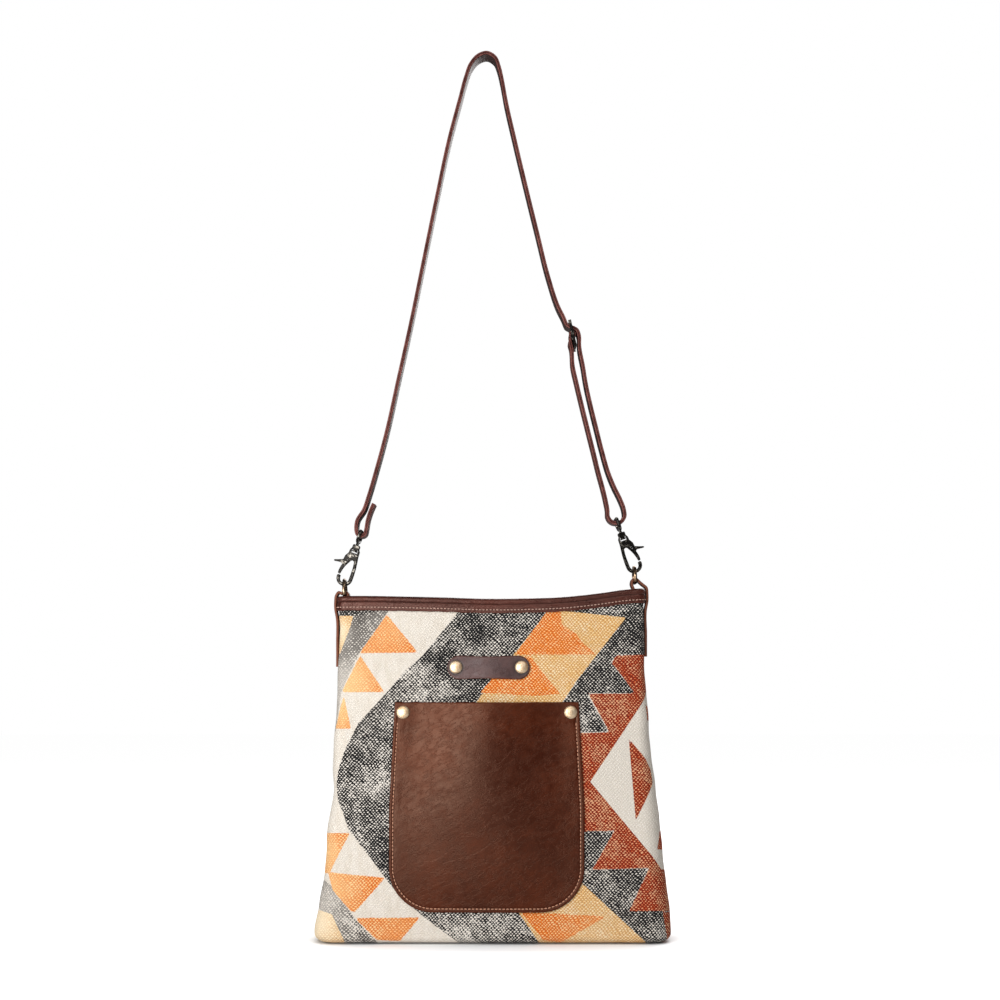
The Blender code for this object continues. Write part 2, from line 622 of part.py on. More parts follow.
def strap_route():
    """The strap's middle line: left clasp, over the top, through the adjuster, round the
    right clasp's bar and back up to the adjuster's middle bar."""
    reach = EYE_WIRE + GAP + STRAP_THICK / 2
    left_bar, right_bar = clasp_bars()
    bar = SLIDER_BAR + GAP
    beside = bar + STRAP_THICK / 2 + 0.1 * MM
    fold = bar + STRAP_SKIVED / 2 + 0.1 * MM
    over = fold + STRAP_SKIVED / 2 + GAP + STRAP_THICK / 2 + 0.1 * MM
    route = strap_leg(STRAP_TAIL, left_bar)
    route += arc(left_bar, reach * 1.12, 0.0, -180.0, 7)
    route += [(left_bar[0] - 3.2 * MM, left_bar[1] + 7.6 * MM)]
    route += strap_leg(STRAP_LEFT, left_bar)
    route += [(0.0, HANG_HEIGHT + STRAP_THICK / 2)]
    route += strap_leg(STRAP_RIGHT, right_bar)
    route += strap_through_adjuster(beside, over)
    route += strap_leg(STRAP_DOUBLED, right_bar)
    loop = (right_bar[0], right_bar[1] + 3.4 * MM)
    route += arc(loop, reach + 3.4 * MM, -15.0, -165.0, 6)
    route += strap_leg(STRAP_RETURN, right_bar)
    route += [slider_place(-beside, SLIDER_PITCH)]
    route += [slider_place(-beside - 0.1 * MM, SLIDER_PITCH * 0.6)]
    skived = [slider_place(-fold - 0.25 * MM, 2.4 * MM)]
    skived += [slider_place(fold * math.sin(a), -fold * math.cos(a))
               for a in np.radians((-90, -45, 0, 45, 90, 125))]
    skived += [slider_place(0.5 * MM, 4.4 * MM), slider_place(0.0, 6.4 * MM)]
    return route, skived


def make_strap(leather):
    """The one-piece strap, thinned where its end folds round the adjuster's middle bar."""
    route, skived = strap_route()
    path, shares = smooth_path(route + skived)
    whole = np.concatenate([[0.0], np.cumsum(np.linalg.norm(np.diff(route + skived, axis=0),
                                                            axis=1))])
    start, end = whole[len(route) - 1] / whole[-1], whole[len(route)] / whole[-1]
    thin = np.clip((shares - start) / (end - start), 0.0, 1.0)
    thickness = STRAP_THICK + (STRAP_SKIVED - STRAP_THICK) * thin
    return add_object("strap", *ribbon(path, STRAP_WIDTH, thickness), leather)


def make_slider(metal):
    """The adjuster: a flat frame with a round bar at each end and one in the middle."""
    wide = STRAP_WIDTH / 2 + 0.8 * MM
    ends = []
    side = SLIDER_PITCH + SLIDER_BAR
    for way in (-1.0, 1.0):
        outline = [slider_place(-SLIDER_BAR, -side), slider_place(SLIDER_BAR, -side),
                   slider_place(SLIDER_BAR, side), slider_place(-SLIDER_BAR, side)]
        outline = [(x, z - HANG_HEIGHT) for x, z in outline]
        low, high = sorted((way * wide, way * (wide + SLIDER_SIDE)))
        ends.append(prism(outline, low, high))
    frame = add_object("strap_slider", *ends[0], metal)
    combine(frame, cutter("slider_side", *ends[1]), "UNION")
    for number, down in enumerate((-SLIDER_PITCH, 0.0, SLIDER_PITCH)):
        x, height = slider_place(0.0, down)
        reach = wide + SLIDER_SIDE / 2
        bar = rod((x, -reach, height - HANG_HEIGHT), (x, reach, height - HANG_HEIGHT),
                  SLIDER_BAR * 0.98, 12)
        combine(frame, cutter("slider_bar_%d" % number, *bar), "UNION")
    return frame


def hook_outline():
    """Outline of the hook's body: across and along the clasp, in millimetres."""
    throat = arc(THROAT_AT, THROAT_RADIUS, 180.0, 360.0, 11)
    back = arc(THROAT_AT, HOOK_BACK_RADIUS, 360.0, 180.0, 15)
    outline = [(-2.9, 29.0), (2.9, 29.0), (2.9, 25.6), (3.9, 24.8), (4.1, 21.5), (5.9, 18.5)]
    outline += [(6.3, 15.5), (5.6, 12.9), (4.0, 12.3), (2.2, 12.9), (1.2, 14.8), (0.3, 16.4)]
    outline += [(-1.2, 16.7), (-2.4, 15.6), (-2.95, 12.0), (-3.1, 8.0), (-3.1, 4.0)]
    outline += throat + [(4.1, 2.5), (4.5, 3.0), (6.1, 3.0), (6.6, 2.4)] + back
    outline += [(-5.7, 6.0), (-5.3, 12.0), (-4.6, 17.0), (-4.1, 20.5), (-3.9, 24.8), (-2.9, 25.6)]
    return outline


TRIGGER_OUTLINE = (
    (6.9, 3.9), (7.0, 6.0), (6.6, 9.0), (6.0, 11.2), (6.8, 12.3), (9.5, 12.1), (12.6, 11.6),
    (13.2, 12.1), (12.9, 12.8), (9.5, 14.0), (6.2, 15.4), (5.3, 16.4), (3.8, 17.0), (2.3, 16.5),
    (1.6, 15.2), (1.9, 13.4), (3.2, 10.6), (4.2, 7.5), (4.7, 5.0), (4.8, 3.9), (5.3, 3.6),
    (6.4, 3.6),
)


class Clasp:
    """One swivel clasp. Its own frame has its zero at the ring wire in the hook."""

    def __init__(self, side_name, side, wire, tilt):
        self.name, self.side, self.wire, self.tilt = side_name, side, wire, tilt

    def place(self, across, y, along):
        x, height = clasp_place(self.wire, self.tilt, self.side, across, along)
        return x, y, height - HANG_HEIGHT

    def flat(self, outline):
        """World X and Z of an outline drawn in millimetres across and along the clasp."""
        spots = [self.place(across * MM, 0.0, along * MM) for across, along in outline]
        return [(x, z) for x, _, z in spots]

    def pivot(self):
        """World place of the trigger's pin."""
        return self.place(TRIGGER_PIVOT[0], 0.0, TRIGGER_PIVOT[1])


def make_eye(clasp, metal):
    """The eye: a D-shaped wire for the strap, on a stem with a head that swivels."""
    half = STRAP_WIDTH / 2 + 0.8 * MM + EYE_WIRE
    top = CLASP_LENGTH / MM
    wide = half / MM
    corner = [(wide, top - 1.6), (wide - 0.5, top - 0.5), (wide - 1.6, top)]
    low = [(wide, top - 5.2), (wide - 0.9, top - 7.0), (wide - 3.2, top - 8.1)]
    right = list(reversed(low)) + corner
    loop = [(0.0, top - 9.0)] + right + [(-y, q) for y, q in reversed(right)]
    path = [clasp.place(0.0, y * MM, q * MM) for y, q in loop]
    eye = add_object("clasp_eye_" + clasp.name, *tube(path, EYE_WIRE, 10), metal)
    start, end = top - 8.4, 23.3
    length = start - end
    profile = ((0.0, STEM_RADIUS), (1 - 1.6 / length, STEM_RADIUS), (1 - 1.3 / length, STEM_HEAD),
               (1.0, STEM_HEAD))
    stem = turned(clasp.place(0.0, 0.0, start * MM), clasp.place(0.0, 0.0, end * MM), profile, 14)
    combine(eye, cutter("eye_stem_" + clasp.name, *stem), "UNION")
    return eye


def make_hook(clasp, metal):
    """The hook: a cast body with a collar and window for the stem and a slot for the trigger."""
    half = HOOK_DEPTH / 2
    points, faces = prism(clasp.flat(hook_outline()), -half, half)
    origin = clasp.place(0.0, 0.0, 0.0)
    hook = add_object("clasp_hook_" + clasp.name, points, faces, metal, origin)
    bevel(hook, 0.6 * MM, 1)
    bore = rod(clasp.place(0.0, 0.0, 23.5 * MM), clasp.place(0.0, 0.0, 31.0 * MM),
               STEM_RADIUS + FINE_GAP, 14)
    window = [(-2.5, 22.4), (2.5, 22.4), (2.5, 25.0), (-2.5, 25.0)]
    reach = TRIGGER_DEPTH / 2 + GAP
    x, _, z = clasp.pivot()
    pin_hole = rod((x, -5 * MM, z), (x, 5 * MM, z), PIN_RADIUS + FINE_GAP, 14)
    cheek_slot = [(0.9, 10.0), (9.0, 10.0), (9.0, 17.6), (0.9, 17.6)]
    cuts = (("bore", bore), ("window", prism(clasp.flat(window), -5 * MM, 5 * MM)),
            ("slot", prism(clasp.flat(cheek_slot), -reach, reach)), ("pin_hole", pin_hole))
    for name, shape in cuts:
        combine(hook, cutter("%s_%s" % (name, clasp.name), *shape))
    return hook


def make_trigger(clasp, metal):
    """The sprung gate with its thumb spur, and the pin that it turns on."""
    x, _, z = clasp.pivot()
    half = TRIGGER_DEPTH / 2
    points, faces = prism(clasp.flat(TRIGGER_OUTLINE), -half, half)
    trigger = add_object("clasp_trigger_" + clasp.name, points, faces, metal, (x, 0.0, z))
    bevel(trigger, 0.35 * MM, 1)
    hole = rod((x, -4 * MM, z), (x, 4 * MM, z), PIN_RADIUS + FINE_GAP, 14)
    combine(trigger, cutter("trigger_hole_" + clasp.name, *hole))
    head = HOOK_DEPTH / 2 + 0.1 * MM
    add_object("clasp_pin_" + clasp.name, *rod((x, -head, z), (x, head, z), PIN_RADIUS, 14), metal)


def ring_frame():
    """Directions of the line through both ring wires, and up at right angles to it."""
    run = np.subtract(RIGHT_WIRE, LEFT_WIRE)
    along = run / np.linalg.norm(run)
    return along, np.array([-along[1], along[0]])


def ring_bar(wire):
    """X and height of a ring's straight bar."""
    _, up = ring_frame()
    return np.asarray(wire) - up * (RING_ARC + RING_DROP)


def make_ring(clasp, metal):
    """The D-shaped ring: its arc hangs in the hook and its bar lies in the side tab."""
    _, up = ring_frame()
    centre = np.asarray(clasp.wire) - up * RING_ARC
    turns = np.radians(np.linspace(0.0, 180.0, 15))
    loop = [(RING_ARC * math.cos(a), RING_ARC * math.sin(a)) for a in turns]
    bend = RING_CORNER
    corner = [(RING_ARC - bend * (1 - math.cos(a)), -RING_DROP + bend * (1 - math.sin(a)))
              for a in np.radians((0.0, 30.0, 60.0, 90.0))]
    loop += [(-y, q) for y, q in corner] + list(reversed(corner))
    path = [(centre[0] + up[0] * q, y, centre[1] + up[1] * q - HANG_HEIGHT) for y, q in loop]
    bar = ring_bar(clasp.wire)
    origin = (bar[0], 0.0, bar[1] - HANG_HEIGHT)
    return add_object("ring_" + clasp.name, *tube(path, RING_WIRE, 10), metal, origin)


def make_tab(clasp, foot, leather):
    """The leather tab folded over the ring's bar, outside and inside the rim's end."""
    side, bar = clasp.side, ring_bar(clasp.wire)
    edge = smooth_value(EDGES, 1 if side < 0 else 2, np.array(RIM_MID)).item()
    top = rim_height(edge)
    half = TAB_THICK / 2
    outside = edge + side * (GAP * 2 + BINDING + BINDING_ROLL / 2 + half)
    inside = edge - side * (CANVAS + LINING + BINDING + GAP * 3 + half)
    foot_edge = smooth_value(EDGES, 1 if side < 0 else 2, np.array(foot)).item()
    foot_x = foot_edge + side * (GAP + half)
    wrap = RING_WIRE + GAP + half
    route = [(inside, top - TAB_INSIDE), (inside, top - TAB_INSIDE * 0.6), (inside, top - 3 * MM)]
    route += [(bar[0] - side * wrap * math.cos(a), bar[1] + wrap * math.sin(a))
              for a in np.radians((0, 40, 80, 120, 150))]
    shoulder = top + BINDING_ROLL + half + GAP * 2
    reach = abs(outside - bar[0])
    if reach > 2 * wrap:
        route += [(bar[0] + side * reach * 0.62, shoulder + 1.6 * MM)]
    route += [(outside - side * 0.7 * MM, shoulder - 0.8 * MM), (outside, top - 3.5 * MM)]
    tuck = top - TAB_TUCK
    route += [(outside, top - 9.0 * MM), (outside - side * 1.2 * MM, tuck)]
    route += [(foot_x, (foot + tuck) / 2), (foot_x, foot)]
    path, _ = smooth_path(route, 14.0)
    return add_object("side_tab_" + clasp.name, *ribbon(path, TAB_WIDTH, TAB_THICK, 0.3 * MM),
                      leather)


def zip_room(x, height):
    """Half of the clear depth inside the lining."""
    return -front_y(x, height) - CANVAS - LINING - GAP * 2


def make_zip_tapes(tape, low, high):
    """The two tapes, each with its row of teeth as one ridge, sewn below the rim."""
    level = ZIP_HEIGHT - HANG_HEIGHT
    xs = np.linspace(low, high, 9)
    outer = zip_room(xs, ZIP_HEIGHT) - 0.2 * MM
    near = ZIP_SLOT / 2
    thick, rise = ZIP_TAPE / 2, ZIP_TAPE / 2 + ZIP_RIDGE_RISE
    for name, facing in (("zip_tape_front", -1.0), ("zip_tape_back", 1.0)):
        rows = []
        for x, reach in zip(xs, outer):
            ridge = near + ZIP_RIDGE
            section = ((near, -rise), (near, rise), (ridge, rise), (ridge, thick), (reach, thick),
                       (reach, -thick), (ridge, -thick), (ridge, -rise))
            rows.append([(x, facing * y, level + z) for y, z in section])
        grid = np.array(rows)
        count, sides = grid.shape[:2]
        faces = grid_faces(count, sides, close_columns=True)
        faces += [tuple(range(sides)), tuple(range((count - 1) * sides, count * sides))]
        add_object(name, grid, faces, tape)


def make_zip_stops(metal, low, high):
    """A closed stop at the left end, and a small one on each tape at the right."""
    level = ZIP_HEIGHT - HANG_HEIGHT
    rise = ZIP_TAPE / 2 + ZIP_RIDGE_RISE
    near, far = ZIP_SLOT / 2, ZIP_SLOT / 2 + ZIP_RIDGE
    start = low - GAP - ZIP_STOP_LENGTH
    box = block((start, -far, level - rise), (low - GAP, far, level + rise))
    add_object("zip_bottom_stop", *box, metal)
    end = high + GAP
    for name, facing in (("zip_top_stop_front", -1.0), ("zip_top_stop_back", 1.0)):
        ys = sorted((facing * near, facing * far))
        box = block((end, ys[0], level - rise), (end + ZIP_STOP_LENGTH, ys[1], level + rise))
        add_object(name, *box, metal)


def make_zip_slider(metal, at):
    """The slider: two plates joined by a thin web between the rows of teeth, with two ears."""
    level = ZIP_HEIGHT - HANG_HEIGHT
    rise = ZIP_TAPE / 2 + ZIP_RIDGE_RISE + GAP
    half_x, half_y = ZIP_SLIDER_LENGTH / 2, ZIP_SLIDER_WIDTH / 2
    top = level + rise + ZIP_PLATE
    plate = block((at - half_x, -half_y, level + rise), (at + half_x, half_y, top))
    slider = add_object("zip_slider", *plate, metal)
    bevel(slider, 0.3 * MM, 1)
    under = block((at - half_x, -half_y, level - rise - ZIP_PLATE),
                  (at + half_x, half_y, level - rise))
    combine(slider, cutter("slider_under", *under), "UNION")
    web = ZIP_SLOT / 2 - GAP
    post = block((at - half_x * 0.6, -web, level - rise - ZIP_PLATE / 2),
                 (at + half_x * 0.6, web, level + rise + ZIP_PLATE / 2))
    combine(slider, cutter("slider_web", *post), "UNION")
    axle = (at + half_x * 0.35, top + PULL_AXLE_RISE)
    inner = PULL_WIDTH / 2 - 0.8 * MM + GAP
    for number, facing in enumerate((-1.0, 1.0)):
        ys = sorted((facing * inner, facing * (inner + PULL_EAR)))
        ear = block((axle[0] - PULL_EAR_HALF, ys[0], top - 0.3 * MM),
                    (axle[0] + PULL_EAR_HALF, ys[1], axle[1] + PULL_PIN + 0.6 * MM))
        combine(slider, cutter("slider_ear_%d" % number, *ear), "UNION")
    reach = inner + PULL_EAR * 0.5
    pin = rod((axle[0], -reach, axle[1]), (axle[0], reach, axle[1]), PULL_PIN, 12)
    combine(slider, cutter("slider_pin", *pin), "UNION")
    return axle


def make_zip_pull(metal, axle):
    """The pull tab, which lies flat along the zip and turns on the slider's pin."""
    x, z = axle
    head = PULL_WIDTH / 2 - 0.8 * MM
    thick = PULL_THICK / 2
    eye = PULL_PIN + FINE_GAP + 0.7 * MM
    turns = np.radians(range(-120, 121, 30))
    neck_end = x - PULL_NECK - 0.5 * MM
    neck = [(x + eye * math.cos(a), z + eye * math.sin(a)) for a in turns]
    neck += [(neck_end, z + thick), (neck_end, z - thick)]
    pull = add_object("zip_pull", *prism(neck, -head, head), metal, (x, 0.0, z))
    blade = block((x - PULL_LENGTH, -PULL_WIDTH / 2, z - thick),
                  (x - PULL_NECK, PULL_WIDTH / 2, z + thick))
    combine(pull, cutter("pull_blade", *blade), "UNION")
    hole = rod((x, -5 * MM, z), (x, 5 * MM, z), PULL_PIN + FINE_GAP, 12)
    combine(pull, cutter("pull_hole", *hole))
    return pull


def make_bag(canvas, cloth, leather, brass):
    """The bag's sewn pieces and rivets."""
    front, _ = make_panels(canvas)
    make_base(canvas)
    lining = make_lining(cloth)
    make_binding(leather)
    pocket = make_pocket(leather)
    strip = make_strip(leather)
    make_rivets(pocket, strip, front, lining, brass)


def make_zip(tape, metal):
    """The zip between the lining's two faces, closed, with its slider at the right end."""
    low, high = ZIP_CENTRE - ZIP_HALF, ZIP_CENTRE + ZIP_HALF
    make_zip_tapes(tape, low, high)
    make_zip_stops(metal, low, high)
    axle = make_zip_slider(metal, high - ZIP_SLIDER_LENGTH / 2 - 1.0 * MM)
    make_zip_pull(metal, axle)


def main():
    clear_scene()
    canvas = material("printed_canvas", ORANGE_CANVAS, 0.9)
    cloth = material("lining_cloth", CREAM_CLOTH, 0.85)
    leather = material("brown_leather", BROWN_LEATHER, 0.5)
    strap_leather = material("strap_leather", STRAP_LEATHER, 0.55)
    gunmetal = material("gunmetal", GUNMETAL, 0.3, 1.0)
    brass = material("pale_brass", PALE_BRASS, 0.3, 1.0)
    make_bag(canvas, cloth, leather, brass)
    make_zip(cloth, brass)
    make_strap(strap_leather)
    make_slider(gunmetal)
    left = Clasp("left", -1.0, LEFT_WIRE, LEFT_TILT)
    right = Clasp("right", 1.0, RIGHT_WIRE, RIGHT_TILT)
    for clasp, foot in ((left, TAB_FOOT_LEFT), (right, TAB_FOOT_RIGHT)):
        make_eye(clasp, gunmetal)
        make_hook(clasp, gunmetal)
        make_trigger(clasp, gunmetal)
        make_ring(clasp, brass)
        make_tab(clasp, foot, leather)


main()
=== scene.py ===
# %% [markdown]
# # A crossbody bag of block-printed canvas
#
# The bag hangs by its strap. Its soft pieces are rebuilt here as fine surfaces over the packed
# frame: the canvas with its print, the leather pocket, strip, binding and tabs, the strap, the
# lining and the zip. The metal pieces keep their own shapes and get new materials.
#
# Lengths are in metres, written as numbers of millimetres. The front faces -Y.

# %% Load the frame
import math

import bpy
import numpy as np
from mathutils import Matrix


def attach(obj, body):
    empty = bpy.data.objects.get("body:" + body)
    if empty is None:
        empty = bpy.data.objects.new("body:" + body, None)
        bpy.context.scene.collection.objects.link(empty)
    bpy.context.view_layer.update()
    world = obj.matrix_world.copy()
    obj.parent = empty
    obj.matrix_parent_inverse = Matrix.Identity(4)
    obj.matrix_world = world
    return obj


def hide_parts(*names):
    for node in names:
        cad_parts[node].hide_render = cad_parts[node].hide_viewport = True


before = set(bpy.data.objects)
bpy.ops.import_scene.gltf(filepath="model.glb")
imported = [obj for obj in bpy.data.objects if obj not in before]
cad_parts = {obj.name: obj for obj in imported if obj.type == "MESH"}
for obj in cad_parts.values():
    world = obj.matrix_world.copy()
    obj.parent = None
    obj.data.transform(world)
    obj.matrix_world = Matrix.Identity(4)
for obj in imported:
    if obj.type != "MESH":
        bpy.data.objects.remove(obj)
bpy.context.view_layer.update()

MM = 0.001

# %% [markdown]
# ## Camera and light
#
# The camera looks level along +Y, with its frame shifted up as in the photograph. The scale is
# 0.78 mm to a pixel in the bag's middle plane. One near lamp at the left gives the bag its form,
# a weak one fills in from the front, and one behind is for the back. The world is white for the
# camera alone, and gives only a little light.

# %% Camera
HANG_HEIGHT = 685.6 * MM          # from the bag's base up to the strap's underside
CAMERA = (10.1 * MM, -1300.0 * MM, -475.5 * MM)
PIXEL = 0.78 * MM                 # of the 1000 pixel wide photograph, at Y = 0
PHOTO_CENTRE = (500.0, 668.0)     # the pixel that the camera looks straight at
PHOTO_SIZE = 1000.0
SENSOR = 36.0

view = bpy.data.cameras.new("camera")
view.sensor_width = SENSOR
view.lens = SENSOR * -CAMERA[1] / PIXEL / PHOTO_SIZE
view.shift_y = (PHOTO_CENTRE[1] - PHOTO_SIZE / 2) / PHOTO_SIZE
view.clip_start = 0.01
camera = bpy.data.objects.new("camera", view)
camera.location = CAMERA
camera.rotation_euler = (math.pi / 2, 0.0, 0.0)
bpy.context.collection.objects.link(camera)
bpy.context.scene.camera = camera
print("lens", round(view.lens, 1), "mm")

# %% Studio
KEY_POWER = 10.2
FRONT_POWER = 4.4
BACK_POWER = 12.0
AMBIENT = 0.14


def area_light(name, place, target, size, power):
    """A soft rectangular lamp that faces a point."""
    lamp = bpy.data.lights.new(name, "AREA")
    lamp.shape = "RECTANGLE"
    lamp.size, lamp.size_y = size
    lamp.energy = power
    made = bpy.data.objects.new(name, lamp)
    made.location = place
    away = np.subtract(place, target)
    flat = math.hypot(away[0], away[1])
    made.rotation_euler = (math.atan2(flat, away[2]), 0.0, math.atan2(away[0], -away[1]))
    bpy.context.collection.objects.link(made)


middle = (0.0, 0.0, -0.5)
area_light("key", (-0.52, -0.92, -0.30), middle, (0.85, 0.75), KEY_POWER)
area_light("front", (0.25, -1.15, 0.65), middle, (1.2, 0.7), FRONT_POWER)
area_light("back", (0.5, 1.1, 0.25), middle, (1.2, 1.0), BACK_POWER)

world = bpy.data.worlds.new("studio")
bpy.context.scene.world = world
world.use_nodes = True
sky = world.node_tree
sky.nodes.clear()
seen = sky.nodes.new("ShaderNodeLightPath")
soft = sky.nodes.new("ShaderNodeBackground")
soft.inputs["Color"].default_value = (1.0, 1.0, 1.0, 1.0)
soft.inputs["Strength"].default_value = AMBIENT
white = sky.nodes.new("ShaderNodeBackground")
white.inputs["Color"].default_value = (1.0, 1.0, 1.0, 1.0)
white.inputs["Strength"].default_value = 1.0
either = sky.nodes.new("ShaderNodeMixShader")
out = sky.nodes.new("ShaderNodeOutputWorld")
sky.links.new(seen.outputs["Is Camera Ray"], either.inputs[0])
sky.links.new(soft.outputs[0], either.inputs[1])
sky.links.new(white.outputs[0], either.inputs[2])
sky.links.new(either.outputs[0], out.inputs[0])

bpy.context.scene.view_settings.view_transform = "Standard"
print("camera at", CAMERA, "with", len(bpy.data.lights), "lamps")

# %% [markdown]
# ## Helpers for materials
#
# A colour is written with 0 to 255 values, as a paint program shows them. `Nodes` adds nodes to
# a tree: each method takes sockets or plain values and returns the socket with its result. A
# `Finish` is a material, and an `Effect` is a node group that more than one material uses.

# %% Material helpers


def srgb(red, green, blue):
    """A linear colour from 0 to 255 values."""
    parts = [part / 255.0 for part in (red, green, blue)]
    linear = [part / 12.92 if part <= 0.04045 else ((part + 0.055) / 1.055) ** 2.4
              for part in parts]
    return (*linear, 1.0)


class Nodes:
    """A node tree and the ways to add to it."""

    def __init__(self, tree):
        self.tree = tree

    def put(self, socket, value):
        if isinstance(value, bpy.types.NodeSocket):
            self.tree.links.new(value, socket)
        elif value is not None:
            socket.default_value = value

    def node(self, kind, inputs, **choices):
        made = self.tree.nodes.new("ShaderNode" + kind)
        for name, value in choices.items():
            setattr(made, name, value)
        for key, value in inputs.items():
            self.put(made.inputs[key], value)
        return made

    def effect(self, effect, **inputs):
        return self.node("Group", inputs, node_tree=effect.tree).outputs

    def math(self, operation, first, second=None, third=None):
        return self.node("Math", {0: first, 1: second, 2: third}, operation=operation).outputs[0]

    def step(self, value, low, high, start=0.0, end=1.0):
        """Rises smoothly from start to end as the value goes from low to high."""
        return self.node("MapRange", {0: value, 1: low, 2: high, 3: start, 4: end},
                         interpolation_type="SMOOTHSTEP").outputs[0]

    def mix(self, factor, first, second):
        return self.node("Mix", {0: factor, 6: first, 7: second}, data_type="RGBA").outputs[2]

    def object_place(self):
        return self.node("TexCoord", {}).outputs["Object"]

    def cloth_place(self):
        """The surface's own coordinates along its threads, in metres."""
        return self.node("UVMap", {}, uv_map="weave").outputs[0]

    def split(self, vector):
        return self.node("SeparateXYZ", {0: vector}).outputs

    def scaled(self, vector, amounts):
        return self.node("VectorMath", {0: vector, 1: amounts}, operation="MULTIPLY").outputs[0]

    def noise(self, vector, scale, detail=3.0, roughness=0.55):
        return self.node("TexNoise", {"Vector": vector, "Scale": scale, "Detail": detail,
                                      "Roughness": roughness}).outputs[0]

    def attribute(self, name):
        return self.node("Attribute", {}, attribute_name=name).outputs["Fac"]


class Finish(Nodes):
    """One material."""

    def __init__(self, name, roughness=0.5, metallic=0.0):
        self.data = bpy.data.materials.new(name)
        self.data.use_nodes = True
        super().__init__(self.data.node_tree)
        self.shader = self.tree.nodes["Principled BSDF"]
        self.shader.inputs["Roughness"].default_value = roughness
        self.shader.inputs["Metallic"].default_value = metallic

    def done(self, colour, roughness=None, height=None, depth=0.0003, strength=0.5, shine=0.5,
             shine_tint=(1.0, 1.0, 1.0, 1.0)):
        """Links the results to the shader."""
        self.shader.inputs["Specular IOR Level"].default_value = shine
        self.shader.inputs["Specular Tint"].default_value = shine_tint
        self.put(self.shader.inputs["Base Color"], colour)
        self.put(self.shader.inputs["Roughness"], roughness)
        bump = self.node("Bump", {"Height": height, "Distance": depth, "Strength": strength})
        self.put(self.shader.inputs["Normal"], bump.outputs[0])
        return self.data


class Effect(Nodes):
    """A node group with named inputs and outputs."""

    def __init__(self, name, inputs, outputs):
        super().__init__(bpy.data.node_groups.new(name, "ShaderNodeTree"))
        for label, kind in inputs:
            self.tree.interface.new_socket(label, in_out="INPUT", socket_type="NodeSocket" + kind)
        for label, kind in outputs:
            self.tree.interface.new_socket(label, in_out="OUTPUT", socket_type="NodeSocket" + kind)
        self.given = self.tree.nodes.new("NodeGroupInput").outputs
        self.result = self.tree.nodes.new("NodeGroupOutput").inputs


print("a middle grey is", round(srgb(128, 128, 128)[0], 3))

# %% [markdown]
# ## Floor
#
# A white floor catches the bag's shadow. It glows a little as well, for the camera alone, so
# that it is as white as the background. The glow goes where something stands close over the
# floor, so the shadow under the base shows.

# %% Floor
FLOOR_DROP = 1.0 * MM
FLOOR_REACH = 4.0
FLOOR_GLOW = 0.88                 # far from the bag
SHADOW_REACH = 70.0 * MM          # how near a thing has to be to take the glow away
floor_mesh = bpy.data.meshes.new("floor")
floor_mesh.from_pydata([(x * FLOOR_REACH, y * FLOOR_REACH, -HANG_HEIGHT - FLOOR_DROP)
                        for x, y in ((-1, -1), (1, -1), (1, 1), (-1, 1))], [], [(0, 1, 2, 3)])
floor = bpy.data.objects.new("floor", floor_mesh)
bpy.context.collection.objects.link(floor)
pale = bpy.data.materials.new("pale_floor")
pale.use_nodes = True
nodes = Nodes(pale.node_tree)
open_floor = nodes.node("AmbientOcclusion", {"Distance": SHADOW_REACH}).outputs["AO"]
glow = nodes.step(open_floor, 0.2, 1.0, 0.0, FLOOR_GLOW)
glow = nodes.math("MULTIPLY", glow, nodes.node("LightPath", {}).outputs["Is Camera Ray"])
shader = pale.node_tree.nodes["Principled BSDF"]
for name, value in (("Base Color", (0.75, 0.75, 0.75, 1.0)), ("Roughness", 0.9),
                    ("Emission Color", (1.0, 1.0, 1.0, 1.0)), ("Emission Strength", glow)):
    nodes.put(shader.inputs[name], value)
floor_mesh.materials.append(pale)
print("floor at", round(-HANG_HEIGHT - FLOOR_DROP, 4))

# %% [markdown]
# ## Weave
#
# In this coarse canvas each thread goes over and under the ones that it crosses. What the eye
# sees is a staggered lattice of raised spots, where a thread comes to the top, with crevices
# between them. The effect works the lattice out from the cloth's own coordinates, so that it
# follows the cloth round every fold. Spot is 1 on a spot and 0 between, Reach is the distance
# from the spot's middle, and Random is a number for each spot.

# %% Weave effect
weave = Effect("thread_lattice", (("Place", "Vector"), ("Pitch", "Float"), ("Row", "Float")),
               (("Spot", "Float"), ("Reach", "Float"), ("Random", "Float")))
wobble = weave.math("SUBTRACT", weave.noise(weave.given["Place"], 110.0, 3.0, 0.6), 0.5)
thread_x, thread_y, _ = weave.split(weave.given["Place"])
rows = weave.math("ADD", weave.math("DIVIDE", thread_y, weave.given["Row"]),
                  weave.math("MULTIPLY", wobble, 2.6))
row_number = weave.math("FLOOR", rows)
half_step = weave.math("MULTIPLY", weave.math("FLOORED_MODULO", row_number, 2.0), 0.5)
spots = weave.math("ADD", weave.math("DIVIDE", thread_x, weave.given["Pitch"]), half_step)
spots = weave.math("ADD", spots, weave.math("MULTIPLY", wobble, 1.9))
across = weave.math("MULTIPLY", weave.math("SUBTRACT", weave.math("FRACT", spots), 0.5), 2.1)
up = weave.math("MULTIPLY", weave.math("SUBTRACT", weave.math("FRACT", rows), 0.5), 1.5)
spot_reach = weave.math("SQRT", weave.math("ADD", weave.math("MULTIPLY", across, across),
                                           weave.math("MULTIPLY", up, up)))
weave.put(weave.result["Spot"], weave.step(spot_reach, 0.26, 0.70, 1.0, 0.0))
weave.put(weave.result["Reach"], spot_reach)
spot_name = weave.node("CombineXYZ", {0: weave.math("FLOOR", spots), 1: row_number}).outputs[0]
weave.put(weave.result["Random"],
          weave.node("TexWhiteNoise", {"Vector": spot_name}, noise_dimensions="2D").outputs[0])
print("weave nodes:", len(weave.tree.nodes))

